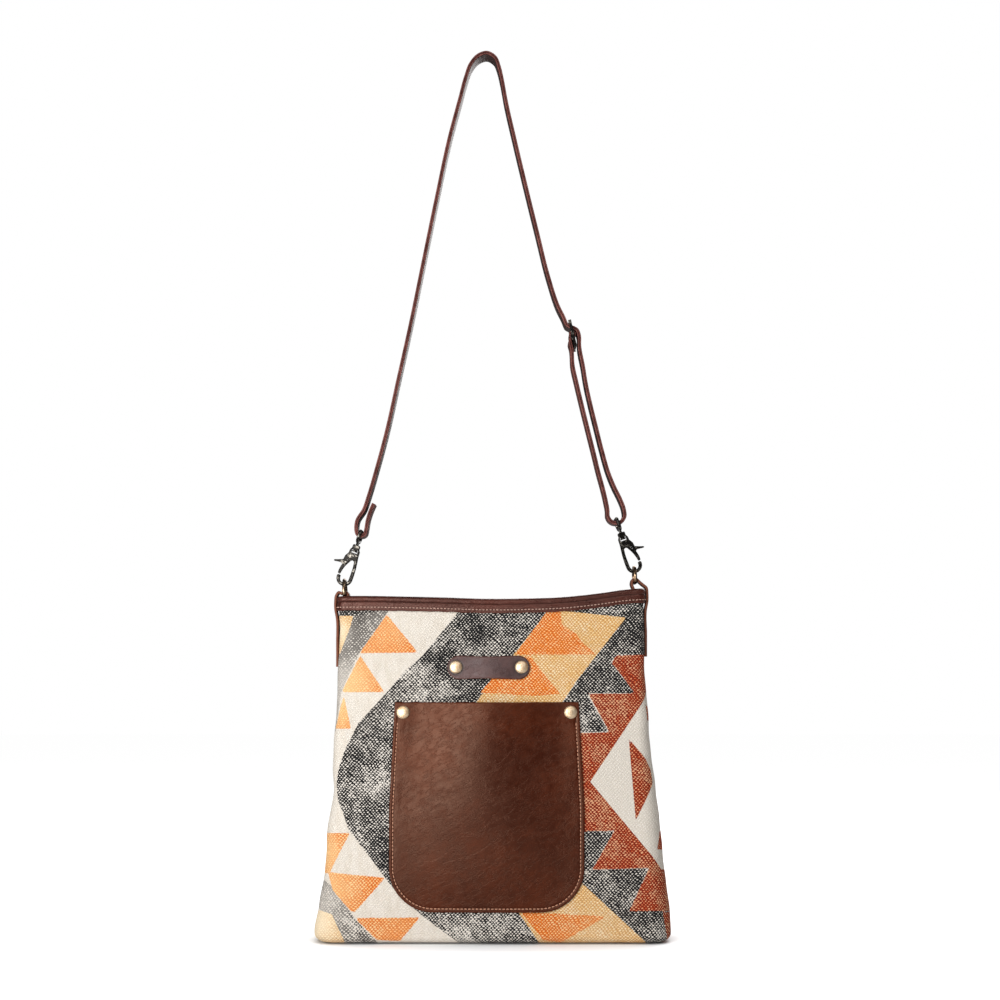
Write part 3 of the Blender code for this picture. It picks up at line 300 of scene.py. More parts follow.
# %% [markdown]
# ## Printed canvas
#
# The ink of the block print sits in the crevices and round the raised spots, and has worn off
# their tops. The crevices are painted darker still, as shade. The bare tops are larger where the
# cloth is more worn: in patches, in specks, from one spot to the next, and in the places that the
# print's own table names. The print's outlines come as distances in millimetres, one attribute
# for each ink, positive inside.

# %% Canvas material
THREAD_PITCH = 2.75 * MM          # from spot to spot along a row
ROW_PITCH = 1.42 * MM
# Attribute, colour, colour in the crevices, which is darker as painted shade, colour of the bare
# tops and of thin ink, size of the bare tops, and how much wear opens them.
INKS = (
    ("ink_grey", (88, 82, 76), (52, 48, 46), (238, 230, 219), (208, 200, 190), 0.54, 0.50),
    ("ink_black", (24, 22, 23), (10, 9, 10), (240, 232, 221), (120, 116, 110), 0.52, 0.42),
    ("ink_yellow", (246, 200, 126), (206, 152, 92), (255, 232, 192), (252, 236, 206), 0.52, 0.35),
    ("ink_orange", (250, 148, 50), (210, 98, 30), (255, 214, 156), (255, 212, 150), 0.50, 0.35),
    ("ink_rust", (196, 70, 12), (116, 28, 6), (240, 178, 134), (206, 120, 70), 0.48, 0.45),
    ("ink_cream", (238, 230, 219), (222, 212, 198), (238, 230, 219), (238, 230, 219), 0.4, 0.0),
)


def canvas_material():
    finish = Finish("block_printed_canvas", 0.95)
    place = finish.cloth_place()
    spot, reach, random = finish.effect(weave, Place=place, Pitch=THREAD_PITCH, Row=ROW_PITCH)
    patches = finish.step(finish.noise(place, 40.0, 5.0, 0.7), 0.42, 0.62, -0.3, 0.3)
    specks = finish.math("SUBTRACT", finish.noise(place, 240.0, 4.0, 0.75), 0.5)
    worn = finish.math("ADD", patches, finish.attribute("worn"))
    worn = finish.math("MULTIPLY_ADD", specks, 2.2, worn)
    worn = finish.math("MULTIPLY_ADD", finish.math("SUBTRACT", random, 0.5), 0.6, worn)
    uneven = finish.math("SUBTRACT", finish.noise(place, 520.0, 3.0, 0.6), 0.5)
    # Crevice shade is 1 in the crevices between the raised spots. The cloth and each ink are
    # painted darker there, as shade.
    crevice_shade = finish.step(reach, 0.5, 0.9)
    streak = finish.noise(finish.scaled(place, (1.0, 0.3, 1.0)), 230.0, 3.0)
    streak = finish.step(streak, 0.3, 0.75)
    colour = finish.mix(streak, srgb(242, 234, 223), srgb(232, 222, 208))
    colour = finish.mix(finish.math("MULTIPLY", crevice_shade, 0.22), colour, srgb(166, 148, 124))
    for ink, body, between, spots, thin, bare, opened in INKS:
        edge = finish.math("MULTIPLY_ADD", uneven, 1.7, finish.attribute(ink))
        inside = finish.step(edge, -0.3, 0.3)
        size = finish.math("MULTIPLY_ADD", worn, opened, bare)
        kept = finish.step(finish.math("SUBTRACT", reach, size), -0.12, 0.12)
        # The ink's colour in the crevices is darker, as painted shade.
        tone = finish.mix(crevice_shade, srgb(*body), srgb(*between))
        tone = finish.mix(kept, srgb(*spots), tone)
        tone = finish.mix(finish.attribute("faded"), tone, srgb(*thin))
        colour = finish.mix(inside, colour, tone)
    fuzz = finish.noise(place, 2600.0, 2.0)
    height = finish.math("MULTIPLY_ADD", fuzz, 0.4, spot)
    return finish.done(colour, None, height, 0.5 * MM, 0.6)


canvas = canvas_material()
print("inks:", ", ".join(row[0] for row in INKS))

# %% [markdown]
# ## Leather, cloth, metal and thread
#
# Oiled leather is cloudy, with fine pores and soft creases that run one way, which are painted
# darker as shade. One effect gives its clouds, its creases and its height, and each leather has
# its own colours and shine.

# %% Leather
hide = Effect("hide_grain", (("Place", "Vector"), ("Pores", "Float")),
              (("Cloud", "Float"), ("Mottle", "Float"), ("Crease", "Float"), ("Height", "Float")))
hide_place = hide.given["Place"]
mottle = hide.noise(hide_place, 150.0, 4.0, 0.62)
leaning = hide.node("VectorRotate", {"Vector": hide_place, "Angle": 0.55},
                    rotation_type="Y_AXIS").outputs[0]
creases = hide.noise(hide.scaled(leaning, (1.0, 1.0, 2.6)), 60.0, 6.0, 0.65)
lines = hide.step(hide.math("ABSOLUTE", hide.math("SUBTRACT", creases, 0.5)), 0.0, 0.05)
pores = hide.node("TexVoronoi", {"Vector": hide_place, "Scale": hide.given["Pores"]})
relief = hide.math("MULTIPLY_ADD", pores.outputs["Distance"], 0.5,
                   hide.math("MULTIPLY_ADD", lines, 0.6, hide.math("MULTIPLY", creases, 3.0)))
hide.put(hide.result["Cloud"], hide.noise(hide_place, 17.0, 5.0, 0.6))
hide.put(hide.result["Mottle"], mottle)
hide.put(hide.result["Crease"], lines)
hide.put(hide.result["Height"], relief)

OILED = (1.0, 0.62, 0.52, 1.0)    # tint of the shine on oiled leather


def leather_material(name, dark, light, roughness=0.46, pores=900.0, edge=None, shine=0.35,
                     tint=OILED):
    """Oiled leather. edge is the colour of the cut edges that a piece marks."""
    finish = Finish(name, roughness)
    cloud, mottled, crease_shade, height = finish.effect(hide, Place=finish.object_place(), Pores=pores)
    tone = finish.math("MULTIPLY_ADD", cloud, 0.7, finish.math("MULTIPLY", mottled, 0.3))
    colour = finish.mix(finish.step(tone, 0.38, 0.64), dark, light)
    # Along the crease lines the colour is painted darker, as shade in the creases.
    colour = finish.mix(finish.step(crease_shade, 0.0, 1.0, 0.25, 0.0), colour, dark)
    if edge is not None:
        colour = finish.mix(finish.attribute("cut_edge"), colour, edge)
        # The dark_line mark paints shade into the grooves and creases of the binding and pocket,
        # and darkens a ring round each of the strip's rivets.
        colour = finish.mix(finish.attribute("dark_line"), colour,
                            tuple(part * 0.35 for part in dark[:3]) + (1.0,))
    rough = finish.step(mottled, 0.3, 0.7, roughness - 0.07, roughness + 0.09)
    return finish.done(colour, rough, height, 0.22 * MM, 0.5, shine, tint)


def strap_material():
    """Strap leather: satin faces, paler cut edges, a dark line between its two layers, and painted
    shade on the underside.
    """
    finish = Finish("strap_hide", 0.5)
    _, mottled, _, height = finish.effect(hide, Place=finish.object_place(), Pores=1100.0)
    face = finish.mix(finish.step(mottled, 0.3, 0.7), srgb(70, 36, 32), srgb(100, 56, 48))
    edge = finish.mix(finish.step(mottled, 0.3, 0.7), srgb(88, 44, 40), srgb(134, 80, 74))
    colour = finish.mix(finish.attribute("cut_edge"), face, edge)
    colour = finish.mix(finish.attribute("dark_line"), colour, srgb(44, 26, 26))
    # The underside is painted darker, as shade.
    colour = finish.mix(finish.attribute("underside_shade"), colour, srgb(52, 34, 32))
    return finish.done(colour, None, height, 0.22 * MM, 0.5, 0.4, OILED)


pocket_leather = leather_material("pocket_leather", srgb(56, 16, 4), srgb(78, 28, 8), 0.36,
                                  edge=srgb(92, 42, 24), shine=0.55,
                                  tint=(1.0, 0.58, 0.4, 1.0))
strip_leather = leather_material("strip_leather", srgb(52, 28, 26), srgb(84, 54, 50), 0.40,
                                 edge=srgb(92, 44, 32), shine=0.7, tint=(1.0, 0.9, 0.9, 1.0))
binding_leather = leather_material("binding_leather", srgb(54, 20, 14), srgb(80, 36, 27), 0.30,
                                   edge=srgb(100, 54, 42), shine=0.7)
tab_leather = leather_material("tab_leather", srgb(66, 32, 23), srgb(104, 58, 42), 0.46,
                               edge=srgb(120, 72, 54))
strap_hide = strap_material()
print("leathers:", [one.name for one in bpy.data.materials if "leather" in one.name])

# %% Cloth, metal and thread


def cloth_material(name, shade, dark_tone_and_pit_shade, pitch):
    """Plain fine cloth."""
    finish = Finish(name, 0.9)
    place = finish.cloth_place()
    spot, _, _ = finish.effect(weave, Place=place, Pitch=pitch, Row=pitch * 0.55)
    colour = finish.mix(finish.step(finish.noise(place, 30.0), 0.3, 0.7), shade, dark_tone_and_pit_shade)
    # The pits of the weave are painted darker, as shade.
    colour = finish.mix(finish.math("MULTIPLY", spot, 0.25), colour, dark_tone_and_pit_shade)
    return finish.done(colour, None, finish.math("MULTIPLY", spot, -1.0), 0.15 * MM, 0.5)


def metal_material(name, dark, bright, roughness, wear_and_glint=(0.47, 0.62)):
    """Plated metal: a dark finish with brighter patches, partly where the plating has rubbed off
    and partly painted highlights.
    """
    finish = Finish(name, roughness, 1.0)
    place = finish.object_place()
    # The brighter patches stand partly for rubbed plating and partly for painted highlights.
    worn = finish.step(finish.noise(place, 380.0, 4.0, 0.65), *wear_and_glint)
    scratch = finish.noise(finish.scaled(place, (3.0, 3.0, 1.0)), 900.0, 2.0)
    colour = finish.mix(worn, dark, bright)
    rough = finish.step(scratch, 0.3, 0.7, roughness - 0.06, roughness + 0.12)
    return finish.done(colour, rough, scratch, 0.05 * MM, 0.3)


def thread_material(name, shade):
    """Waxed sewing thread, twisted from darker and lighter strands."""
    finish = Finish(name, 0.7)
    twist = finish.noise(finish.object_place(), 1500.0, 2.0)
    dark = tuple(part * 0.5 for part in shade[:3]) + (1.0,)
    return finish.done(finish.mix(twist, dark, shade), None, twist, 0.08 * MM, 0.4)


lining_cloth = cloth_material("lining_cotton", srgb(206, 192, 170), srgb(178, 162, 140), 0.7 * MM)
tape_cloth = cloth_material("zip_tape_cloth", srgb(92, 62, 50), srgb(64, 42, 34), 0.5 * MM)
# The brighter colour of each metal is partly its rubbed finish and partly painted highlight.
gunmetal = metal_material("dark_gunmetal", srgb(40, 38, 36), srgb(150, 144, 134), 0.26, (0.5, 0.64))
ring_metal = metal_material("worn_bronze_ring", srgb(104, 84, 66), srgb(196, 168, 138), 0.24)
brass = metal_material("pale_antique_brass", srgb(226, 188, 142), srgb(252, 230, 200), 0.42,
                       (0.3, 0.7))
tan_thread = thread_material("tan_thread", srgb(226, 164, 132))
pink_thread = thread_material("pink_tan_thread", srgb(226, 182, 164))
print("materials:", len(bpy.data.materials))

# %% [markdown]
# ## Helpers for surfaces
#
# Every new piece is a grid of points worked out with numpy. `add_piece` makes the mesh with its
# thread coordinates and marks, and lets it ride on a body in place of frame nodes. `sewn` lays
# a row of stitches.

# %% Surface helpers


def grid_faces(rows, columns, close_rows=False, close_columns=False, start=0):
    """Quads of a grid whose points are numbered row by row."""
    row = np.arange(rows if close_rows else rows - 1)[:, None]
    column = np.arange(columns if close_columns else columns - 1)[None, :]
    below, beside = (row + 1) % rows, (column + 1) % columns
    quads = np.stack([row * columns + column, row * columns + beside,
                      below * columns + beside, below * columns + column], axis=-1)
    return quads.reshape(-1, 4) + start


def slab(outer, inner):
    """Points and faces of a sheet between two grids of the same size, closed all round."""
    rows, columns = outer.shape[:2]
    count = rows * columns
    index = np.arange(count).reshape(rows, columns)
    edge = np.concatenate([index[0, :-1], index[:-1, -1], index[-1, :0:-1], index[:0:-1, 0]])
    beside = np.roll(edge, -1)
    rim = np.stack([edge, beside, beside + count, edge + count], axis=-1)
    faces = np.concatenate([grid_faces(rows, columns),
                            grid_faces(rows, columns, start=count)[:, ::-1], rim[:, ::-1]])
    return np.concatenate([outer.reshape(-1, 3), inner.reshape(-1, 3)]), faces.tolist()


def outward(points, faces):
    """True if the faces of a closed mesh point out, by the sign of its volume."""
    corners = np.array([(face[0], *pair) for face in faces for pair in zip(face[1:], face[2:])])
    a, b, c = points[corners].transpose(1, 0, 2)
    return np.einsum("ij,ij->i", a, np.cross(b, c)).sum() > 0


def add_piece(name, points, faces, finish, body, slot_name, stands_for=(), threads=None,
              marks=None, sharp=50.0):
    """A closed mesh piece that rides on a body. threads are its cloth coordinates in metres,
    and marks its named attributes, one value for each point."""
    points = np.asarray(points, float).reshape(-1, 3)
    faces = [list(map(int, face)) for face in faces]
    if not outward(points - points.mean(axis=0), faces):
        faces = [face[::-1] for face in faces]
    mesh = bpy.data.meshes.new(name)
    mesh.from_pydata(points.tolist(), [], faces)
    if threads is not None:
        layer = mesh.uv_layers.new(name="weave")
        corner = np.empty(len(mesh.loops), int)
        mesh.loops.foreach_get("vertex_index", corner)
        layer.data.foreach_set("uv", np.asarray(threads, float).reshape(-1, 2)[corner].ravel())
    for mark, values in (marks or {}).items():
        attribute = mesh.attributes.new(mark, "FLOAT", "POINT")
        attribute.data.foreach_set("value", np.asarray(values, float).ravel())
    mesh.materials.append(finish)
    mesh.shade_smooth()
    mesh.set_sharp_from_angle(angle=math.radians(sharp))
    mesh.update()
    piece = bpy.data.objects.new(name, mesh)
    bpy.context.collection.objects.link(piece)
    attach(piece, body)
    if stands_for:
        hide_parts(*stands_for)
    print(name, len(points), "points")


# Share of the half length, share of the radius.
STITCH_SHAPE = np.array([(-1.0, 0.25), (-0.8, 0.8), (-0.3, 1.0), (0.3, 1.0), (0.8, 0.8),
                         (1.0, 0.25)])


def sewn(name, path, out, pitch, length, radius, finish, body, slot_name, sides=6):
    """A row of stitches along a path. Each is a short thread with rounded ends, which stands
    highest in its middle."""
    path, out = np.asarray(path, float), np.asarray(out, float)
    gone = np.concatenate([[0.0], np.cumsum(np.linalg.norm(np.diff(path, axis=0), axis=1))])
    middles = np.arange(pitch / 2, gone[-1], pitch)

    def along(at, values):
        return np.stack([np.interp(at, gone, values[:, axis]) for axis in range(3)], axis=-1)

    turn = np.linspace(0.0, 2 * math.pi, sides, endpoint=False)
    away = along(middles, out)
    away /= np.linalg.norm(away, axis=1)[:, None]
    ahead = along(middles + length / 2, path) - along(middles - length / 2, path)
    ahead /= np.linalg.norm(ahead, axis=1)[:, None]
    side = np.cross(ahead, away)
    share, size = STITCH_SHAPE.T
    lifted = (1 - share**2)[:, None] * 0.5 + size[:, None] * np.cos(turn)
    beside = size[:, None] * np.sin(turn)
    rings = (along(middles, path)[:, None, None]
             + ahead[:, None, None] * (share * length / 2)[None, :, None, None]
             + away[:, None, None] * (lifted * radius)[None, :, :, None]
             + side[:, None, None] * (beside * radius)[None, :, :, None])
    count = len(share) * sides
    one = grid_faces(len(share), sides, close_columns=True)
    first = (np.arange(len(middles)) * count)[:, None]
    faces = (one[None] + first[:, :, None]).reshape(-1, 4).tolist()
    faces += (first + np.arange(sides)[::-1]).tolist()
    faces += (first + count - sides + np.arange(sides)).tolist()
    add_piece(name, rings, faces, finish, body, slot_name, sharp=80.0)


print("rings in a stitch:", len(STITCH_SHAPE))


# %% [markdown]
# ## The bag's form
#
# The wall is a rounded rectangle seen from above. Its width and depth change with height, as the
# tables say, and both faces bulge. A smooth curve runs through each table's rows.

# %% Form
CANVAS = 2.0 * MM
LINING = 0.9 * MM
GAP = 0.3 * MM
BINDING = 1.3 * MM
BINDING_DROP = 10.5 * MM
BASE_ROUND = 6.0 * MM
BASE_LIP = 12.0 * MM
RIM_MID = 263.1 * MM              # height of the rim at the middle

# X, and how far the rim rises above its middle there.
RIM_RISE = (
    (-125.0, 2.0), (-95.0, 2.2), (-64.0, 1.7), (-33.0, 1.0), (0.0, 0.0), (30.0, 0.3), (60.0, 1.5),
    (90.0, 4.8), (106.0, 7.1), (125.0, 8.3),
)
# Height, left X and right X of the side edges.
EDGES = (
    (0.0, -132.2, 141.2), (6.0, -132.8, 141.9), (26.0, -130.2, 140.9), (56.4, -125.4, 136.5),
    (91.5, -122.8, 132.8), (114.2, -118.2, 130.2), (128.0, -118.4, 128.8), (147.0, -117.9, 126.6),
    (182.0, -115.9, 124.2), (215.0, -114.9, 122.3), (250.0, -114.6, 121.4), (272.0, -114.6, 121.3),
)
# Height, outer depth, bulge of each face, and radius of the upright corners.
DEPTHS = (
    (0.0, 60.0, 0.0, 16.0), (20.0, 61.0, 1.2, 16.0), (50.0, 58.0, 3.4, 15.5),
    (90.0, 53.0, 5.0, 14.0), (150.0, 44.0, 5.2, 11.0), (210.0, 33.0, 3.2, 7.6),
    (245.0, 26.0, 1.2, 5.4), (272.0, 24.0, 0.5, 5.0),
)


def smooth_curve(known, values, at):
    """Values at some places on a smooth curve through the known ones."""
    slopes = np.gradient(values, known, axis=0)
    left = np.clip(np.searchsorted(known, at, side="right") - 1, 0, len(known) - 2)
    span = known[left + 1] - known[left]
    t = (at - known[left]) / span
    if values.ndim > 1:
        span, t = span[:, None], t[:, None]
    return ((2 * t**3 - 3 * t**2 + 1) * values[left] + (t**3 - 2 * t**2 + t) * span * slopes[left]
            + (3 * t**2 - 2 * t**3) * values[left + 1] + (t**3 - t**2) * span * slopes[left + 1])


def smooth_value(table, column, at):
    """Value of a table's column, on a smooth curve through its rows."""
    rows = np.asarray(table, float) * MM
    return smooth_curve(rows[:, 0], rows[:, column], np.clip(at, rows[0, 0], rows[-1, 0]))


def rim_height(x):
    """Height of the rim: lowest in the middle and highest at the right end."""
    return RIM_MID + smooth_value(RIM_RISE, 1, x)


def wall_columns(front_steps, corner_steps, side_steps):
    """Stations round one face, right seam to left seam: shares of the straight front and side,
    and the cosine and sine of the corner's arc."""
    side = [(1.0, share, 1.0, 0.0) for share in np.linspace(0.0, 1.0, side_steps, endpoint=False)]
    arcs = np.linspace(0.0, math.pi / 2, corner_steps + 1)
    corner = [(1.0, 1.0, math.cos(a), math.sin(a)) for a in arcs]
    front = [(share, 1.0, 0.0, 1.0) for share in np.linspace(1.0, -1.0, front_steps + 1)[1:-1]]
    left = [(-a, b, -c, s) for a, b, c, s in reversed(side + corner)]
    return np.array(side + corner + front + left)


def plan_point(columns, height, inset):
    """World points of the bag's wall at a height and an inset from its outer face."""
    left = smooth_value(EDGES, 1, height) + inset
    right = smooth_value(EDGES, 2, height) - inset
    deep = smooth_value(DEPTHS, 1, height) / 2 - inset
    bulge = smooth_value(DEPTHS, 2, height)
    rounding = np.maximum(smooth_value(DEPTHS, 3, height) - inset, 0.3 * MM)
    front, side, cosine, sine = columns.T
    x = (left + right) / 2 + front * ((right - left) / 2 - rounding) + rounding * cosine
    y = side * (deep - rounding) + rounding * sine + bulge * (1 - front**2) * side
    return np.stack([x, -y, height - HANG_HEIGHT + 0 * x], axis=-1)


def front_y(x, height):
    """Y of the front face, without its folds."""
    left = smooth_value(EDGES, 1, height)
    right = smooth_value(EDGES, 2, height)
    deep = smooth_value(DEPTHS, 1, height) / 2
    straight = (right - left) / 2 - smooth_value(DEPTHS, 3, height)
    share = np.clip((x - (left + right) / 2) / straight, -1.0, 1.0)
    return -(deep + smooth_value(DEPTHS, 2, height) * (1 - share**2))


def wall_rows(columns, inset, heights_count, top_gap):
    """Rows of wall points: the lip under the base, the rounded bottom edge, and the wall."""
    rim_x = plan_point(columns, np.full(len(columns), RIM_MID), 0.0)[:, 0]
    tops = rim_height(rim_x) - top_gap
    grid = [plan_point(columns, np.full(len(columns), inset), BASE_LIP * share)
            for share in (1.0, 0.75)]
    for angle in np.radians(np.linspace(0.0, 90.0, 9)):
        height = BASE_ROUND - (BASE_ROUND - inset) * math.cos(angle)
        inwards = BASE_ROUND - (BASE_ROUND - inset) * math.sin(angle)
        grid.append(plan_point(columns, np.full(len(columns), height), inwards))
    for share in np.linspace(0.0, 1.0, heights_count + 1)[1:]:
        grid.append(plan_point(columns, BASE_ROUND + (tops - BASE_ROUND) * share, inset))
    return np.array(grid)


def outward_ways(grid):
    """Outward directions of a wall grid, whose columns run from right to left."""
    ways = np.cross(np.gradient(grid, axis=1), np.gradient(grid, axis=0))
    ways /= np.linalg.norm(ways, axis=-1)[..., None]
    return ways * (1.0 if ways[len(grid) // 2, grid.shape[1] // 2, 1] < 0 else -1.0)


print("rim at the middle", round(float(rim_height(0.0)), 4))

# %% [markdown]
# ## Folds
#
# An empty cloth bag isn't smooth. Shallow waves cross it, drag lines run down from its upper
# corners, the seams pucker and its lower edge is uneven. All are sums of sines that fade out
# where leather or rivets hold the cloth flat. The pocket and strip lie on the same folds.

# %% Folds
POCKET_TOP, POCKET_BOTTOM = 184.0 * MM, 24.0 * MM
POCKET_TOP_HALF, POCKET_HALF, POCKET_CORNER = 70.5 * MM, 74.5 * MM, 34.0 * MM
POCKET_THICK = 1.6 * MM
POCKET_ROOM = 9.0 * MM            # how far the pocket's mouth stands off the canvas
POCKET_RIVET_IN = 8.0 * MM
STRIP_X, STRIP_Z = 1.4 * MM, 210.5 * MM
STRIP_LENGTH, STRIP_HEIGHT, STRIP_THICK = 63.5 * MM, 18.4 * MM, 1.7 * MM
STRIP_RIVET_IN = 6.6 * MM


def pocket_half(height, inset=0.0):
    """Half width of the pocket: flared sides and round bottom corners."""
    low, round_end = POCKET_BOTTOM + inset, POCKET_CORNER - inset
    share = (height - POCKET_BOTTOM) / (POCKET_TOP - POCKET_BOTTOM)
    side = POCKET_HALF + (POCKET_TOP_HALF - POCKET_HALF) * np.clip(2 * share - 1, 0.0, 1.0)
    fall = np.clip(round_end - (height - low), 0.0, round_end)
    return side - inset - round_end + np.sqrt(round_end**2 - fall**2)


rivet_height = POCKET_TOP - POCKET_RIVET_IN
rivet_reach = float(pocket_half(rivet_height)) - POCKET_RIVET_IN * 0.85
strip_reach = STRIP_LENGTH / 2 - STRIP_RIVET_IN
RIVETS = np.array([(-rivet_reach, rivet_height), (rivet_reach, rivet_height),
                   (STRIP_X - strip_reach, STRIP_Z), (STRIP_X + strip_reach, STRIP_Z)])


def lift(x, height):
    """How far the folded cloth stands out of the smooth form."""
    wide = np.clip(np.abs(x - 3 * MM) / (122 * MM), 0.0, 1.0)
    wave = 0.42 * np.sin(x / (31 * MM) + height / (37 * MM) + 0.8)
    wave = wave + 0.30 * np.sin(x / (15 * MM) - height / (27 * MM) + 2.1)
    slant = (height + 0.75 * np.abs(x)) / (10.5 * MM) + 1.3 * np.sign(x)
    drag = 0.5 * np.sin(slant) * wide**3 * np.exp(-((height - 200 * MM) / (50 * MM)) ** 2)
    pucker = 0.16 * np.sin(height / (3.9 * MM) + x * 9) * wide**16
    hem = 0.9 * np.sin(x / (21 * MM) + 0.4) * np.exp(-height / (17 * MM))
    total = (wave + drag + pucker + hem) * MM
    held = np.clip((rim_height(x) - 14 * MM - height) / (9 * MM), 0.0, 1.0)
    for rivet_x, rivet_z in RIVETS:
        reach = ((x - rivet_x) ** 2 + (height - rivet_z) ** 2) / (9 * MM) ** 2
        held = held * (1 - np.exp(-reach))
    return np.clip(total * held, -1.1 * MM, 2.2 * MM)


print("lift at the middle", round(float(lift(0.0, 0.1)) / MM, 2), "mm")

# %% [markdown]
# ## The print
#
# The pattern is a nest of chevrons that point left, with rows of triangles, as on a kilim. Its
# outlines are polygons in a drawing plane of its own: 3.409 of its units are one pixel of the
# picture, and its zero is pixel (300, 500). At the sides the cloth goes on round the corner and
# the drawing with it, and under the base the drawing's last row is drawn out.

# %% Print outlines
UNITS = 3.409                     # drawing units to a pixel
DRAWING_ZERO = (300.0, 500.0)     # pixel of the drawing's zero
DRAWING_END = 1530.0
FOCAL = -CAMERA[1] / PIXEL        # the camera's focal length in pixels

PRINT = {
    "ink_grey": (
        ((178, 340), (330, 340), (297, 385), (259, 442), (200, 526), (140, 657), (112, 790),
         (20, 800), (20, 640), (140, 500)),
        ((-60, 1270), (78, 1300), (108, 1318), (190, 1430), (275, 1520), (280, 1560), (140, 1560),
         (78, 1410), (-60, 1330)),
    ),
    "ink_black": (
        ((575, 340), (525, 399), (416, 532), (358, 583), (276, 678), (198, 764), (157, 845),
         (133, 914), (119, 968), (126, 1023), (147, 1067), (164, 1122), (239, 1220),
         (327, 1336), (402, 1405), (470, 1459), (552, 1517), (600, 1560), (870, 1560),
         (820, 1490), (745, 1405), (400, 1040), (380, 960), (600, 690), (842, 385), (880, 340)),
        ((-60, 340), (330, 340), (318, 368), (200, 392), (180, 398), (-60, 404)),
        ((842, 340), (1420, 340), (1420, 430), (1108, 401), (886, 379), (848, 374)),
        ((1085, 340), (1420, 340), (1420, 520), (1175, 532), (1080, 530), (1064, 545),
         (985, 662), (950, 700), (800, 920), (800, 990), (965, 1268), (985, 1285),
         (1112, 1394), (1265, 1390), (1420, 1390), (1420, 1560), (1235, 1560),
         (960, 1310), (690, 960), (690, 920), (905, 675), (945, 615), (1120, 385)),
    ),
    "ink_yellow": (
        ((-60, 395), (182, 395), (165, 450), (135, 520), (-60, 640)),
        ((852, 372), (886, 377), (1112, 400), (940, 620), (905, 675), (690, 930), (690, 960),
         (965, 1310), (1235, 1560), (850, 1560), (745, 1405), (400, 1040), (380, 960),
         (600, 690)),
        ((-120, 1395), (68, 1400), (108, 1412), (150, 1500), (170, 1560), (-120, 1560)),
    ),
    "ink_orange": (
        ((296, 390), (203, 522), (402, 520)),
        ((205, 530), (142, 655), (288, 655)),
        ((150, 668), (112, 780), (174, 780)),
        ((20, 1134), (170, 1136), (96, 1272), (20, 1272)),
        ((86, 1268), (290, 1288), (186, 1406), (172, 1400), (110, 1330)),
        ((186, 1425), (408, 1424), (340, 1505), (262, 1500)),
        ((848, 372), (888, 376), (892, 424), (942, 457), (962, 486), (1010, 527), (733, 527)),
        ((784, 532), (886, 660), (800, 668), (614, 657), (716, 540)),
        ((640, 700), (480, 850), (760, 850)),
        ((470, 860), (360, 985), (640, 985)),
        ((430, 1060), (720, 1060), (600, 1235)),
        ((585, 1240), (860, 1240), (745, 1400)),
        ((752, 1404), (1045, 1420), (890, 1508), (830, 1500)),
    ),
    "ink_rust": (
        ((1078, 530), (1420, 520), (1420, 640), (1180, 662), (1140, 664), (1060, 560)),
        ((982, 660), (1420, 660), (1180, 680), (992, 960), (1240, 1255), (1420, 1262),
         (1420, 1398), (1120, 1402), (1180, 1262), (985, 1275), (1000, 1130), (883, 1130),
         (800, 990), (800, 920), (885, 795), (1055, 792)),
    ),
    "black_over_rust": (
        ((1062, 554), (1142, 659), (990, 659), (1020, 600)),
        ((950, 698), (978, 662), (1052, 790), (883, 794)),
        ((880, 1130), (1072, 1128), (1000, 1254), (965, 1268)),
        ((970, 1262), (1190, 1254), (1118, 1412)),
    ),
    "ink_cream": (
        ((1420, 640), (1192, 655), (990, 960), (1238, 1258), (1420, 1262)),
    ),
    "rust_over_cream": (
        ((1120, 812), (1182, 884), (1202, 920), (1208, 965), (1144, 1094)),
        ((1180, 695), (1190, 700), (1260, 760), (1190, 752)),
        ((1236, 1128), (1218, 1192), (1420, 1196), (1420, 1128)),
        ((1240, 1405), (1420, 1405), (1420, 1560), (1240, 1530), (1262, 1500)),
    ),
}


# Where the ink has worn off in spots more than elsewhere, or less, and where it is thin all over:
# place in the drawing, reach, and how much.
WORN = np.array([
    (400, 650, 75, 0.7), (250, 945, 60, 0.7), (285, 1090, 40, 0.4), (540, 1460, 90, 0.4),
    (670, 1460, 80, 0.4), (600, 445, 60, -0.25), (210, 870, 40, -0.4), (290, 1190, 60, -0.4),
    (480, 560, 60, -0.4), (120, 1200, 110, 0.3), (900, 1450, 70, 0.3), (190, 440, 60, -0.3),
    (1130, 430, 80, -0.4), (190, 1440, 70, 0.3),
], float)
FADED = np.array([
    (130, 450, 45, 0.7), (300, 440, 90, 0.35), (190, 600, 90, 0.55), (110, 720, 90, 0.7),
    (60, 1200, 80, 0.75), (150, 1320, 70, 0.35), (40, 1440, 100, 0.8), (80, 1330, 50, 0.2),
    (110, 600, 60, 0.35), (330, 1460, 90, 0.2), (1000, 1500, 110, 0.15),
], float)


def signed_distance(points, corners):
    """Distance from each point to a polygon's outline, positive inside."""
    corners = np.asarray(corners, float)
    nearest = np.full(len(points), np.inf)
    inside = np.zeros(len(points), bool)
    for start, end in zip(corners, np.roll(corners, -1, axis=0)):
        run = end - start
        share = np.clip((points - start) @ run / (run @ run), 0.0, 1.0)
        away = np.linalg.norm(points - start - share[:, None] * run, axis=1)
        nearest = np.minimum(nearest, away)
        crosses = (start[1] > points[:, 1]) != (end[1] > points[:, 1])
        rise = run[1] if run[1] else 1.0
        at = start[0] + (points[:, 1] - start[1]) * run[0] / rise
        inside ^= crosses & (points[:, 0] < at)
    return np.where(inside, nearest, -nearest)


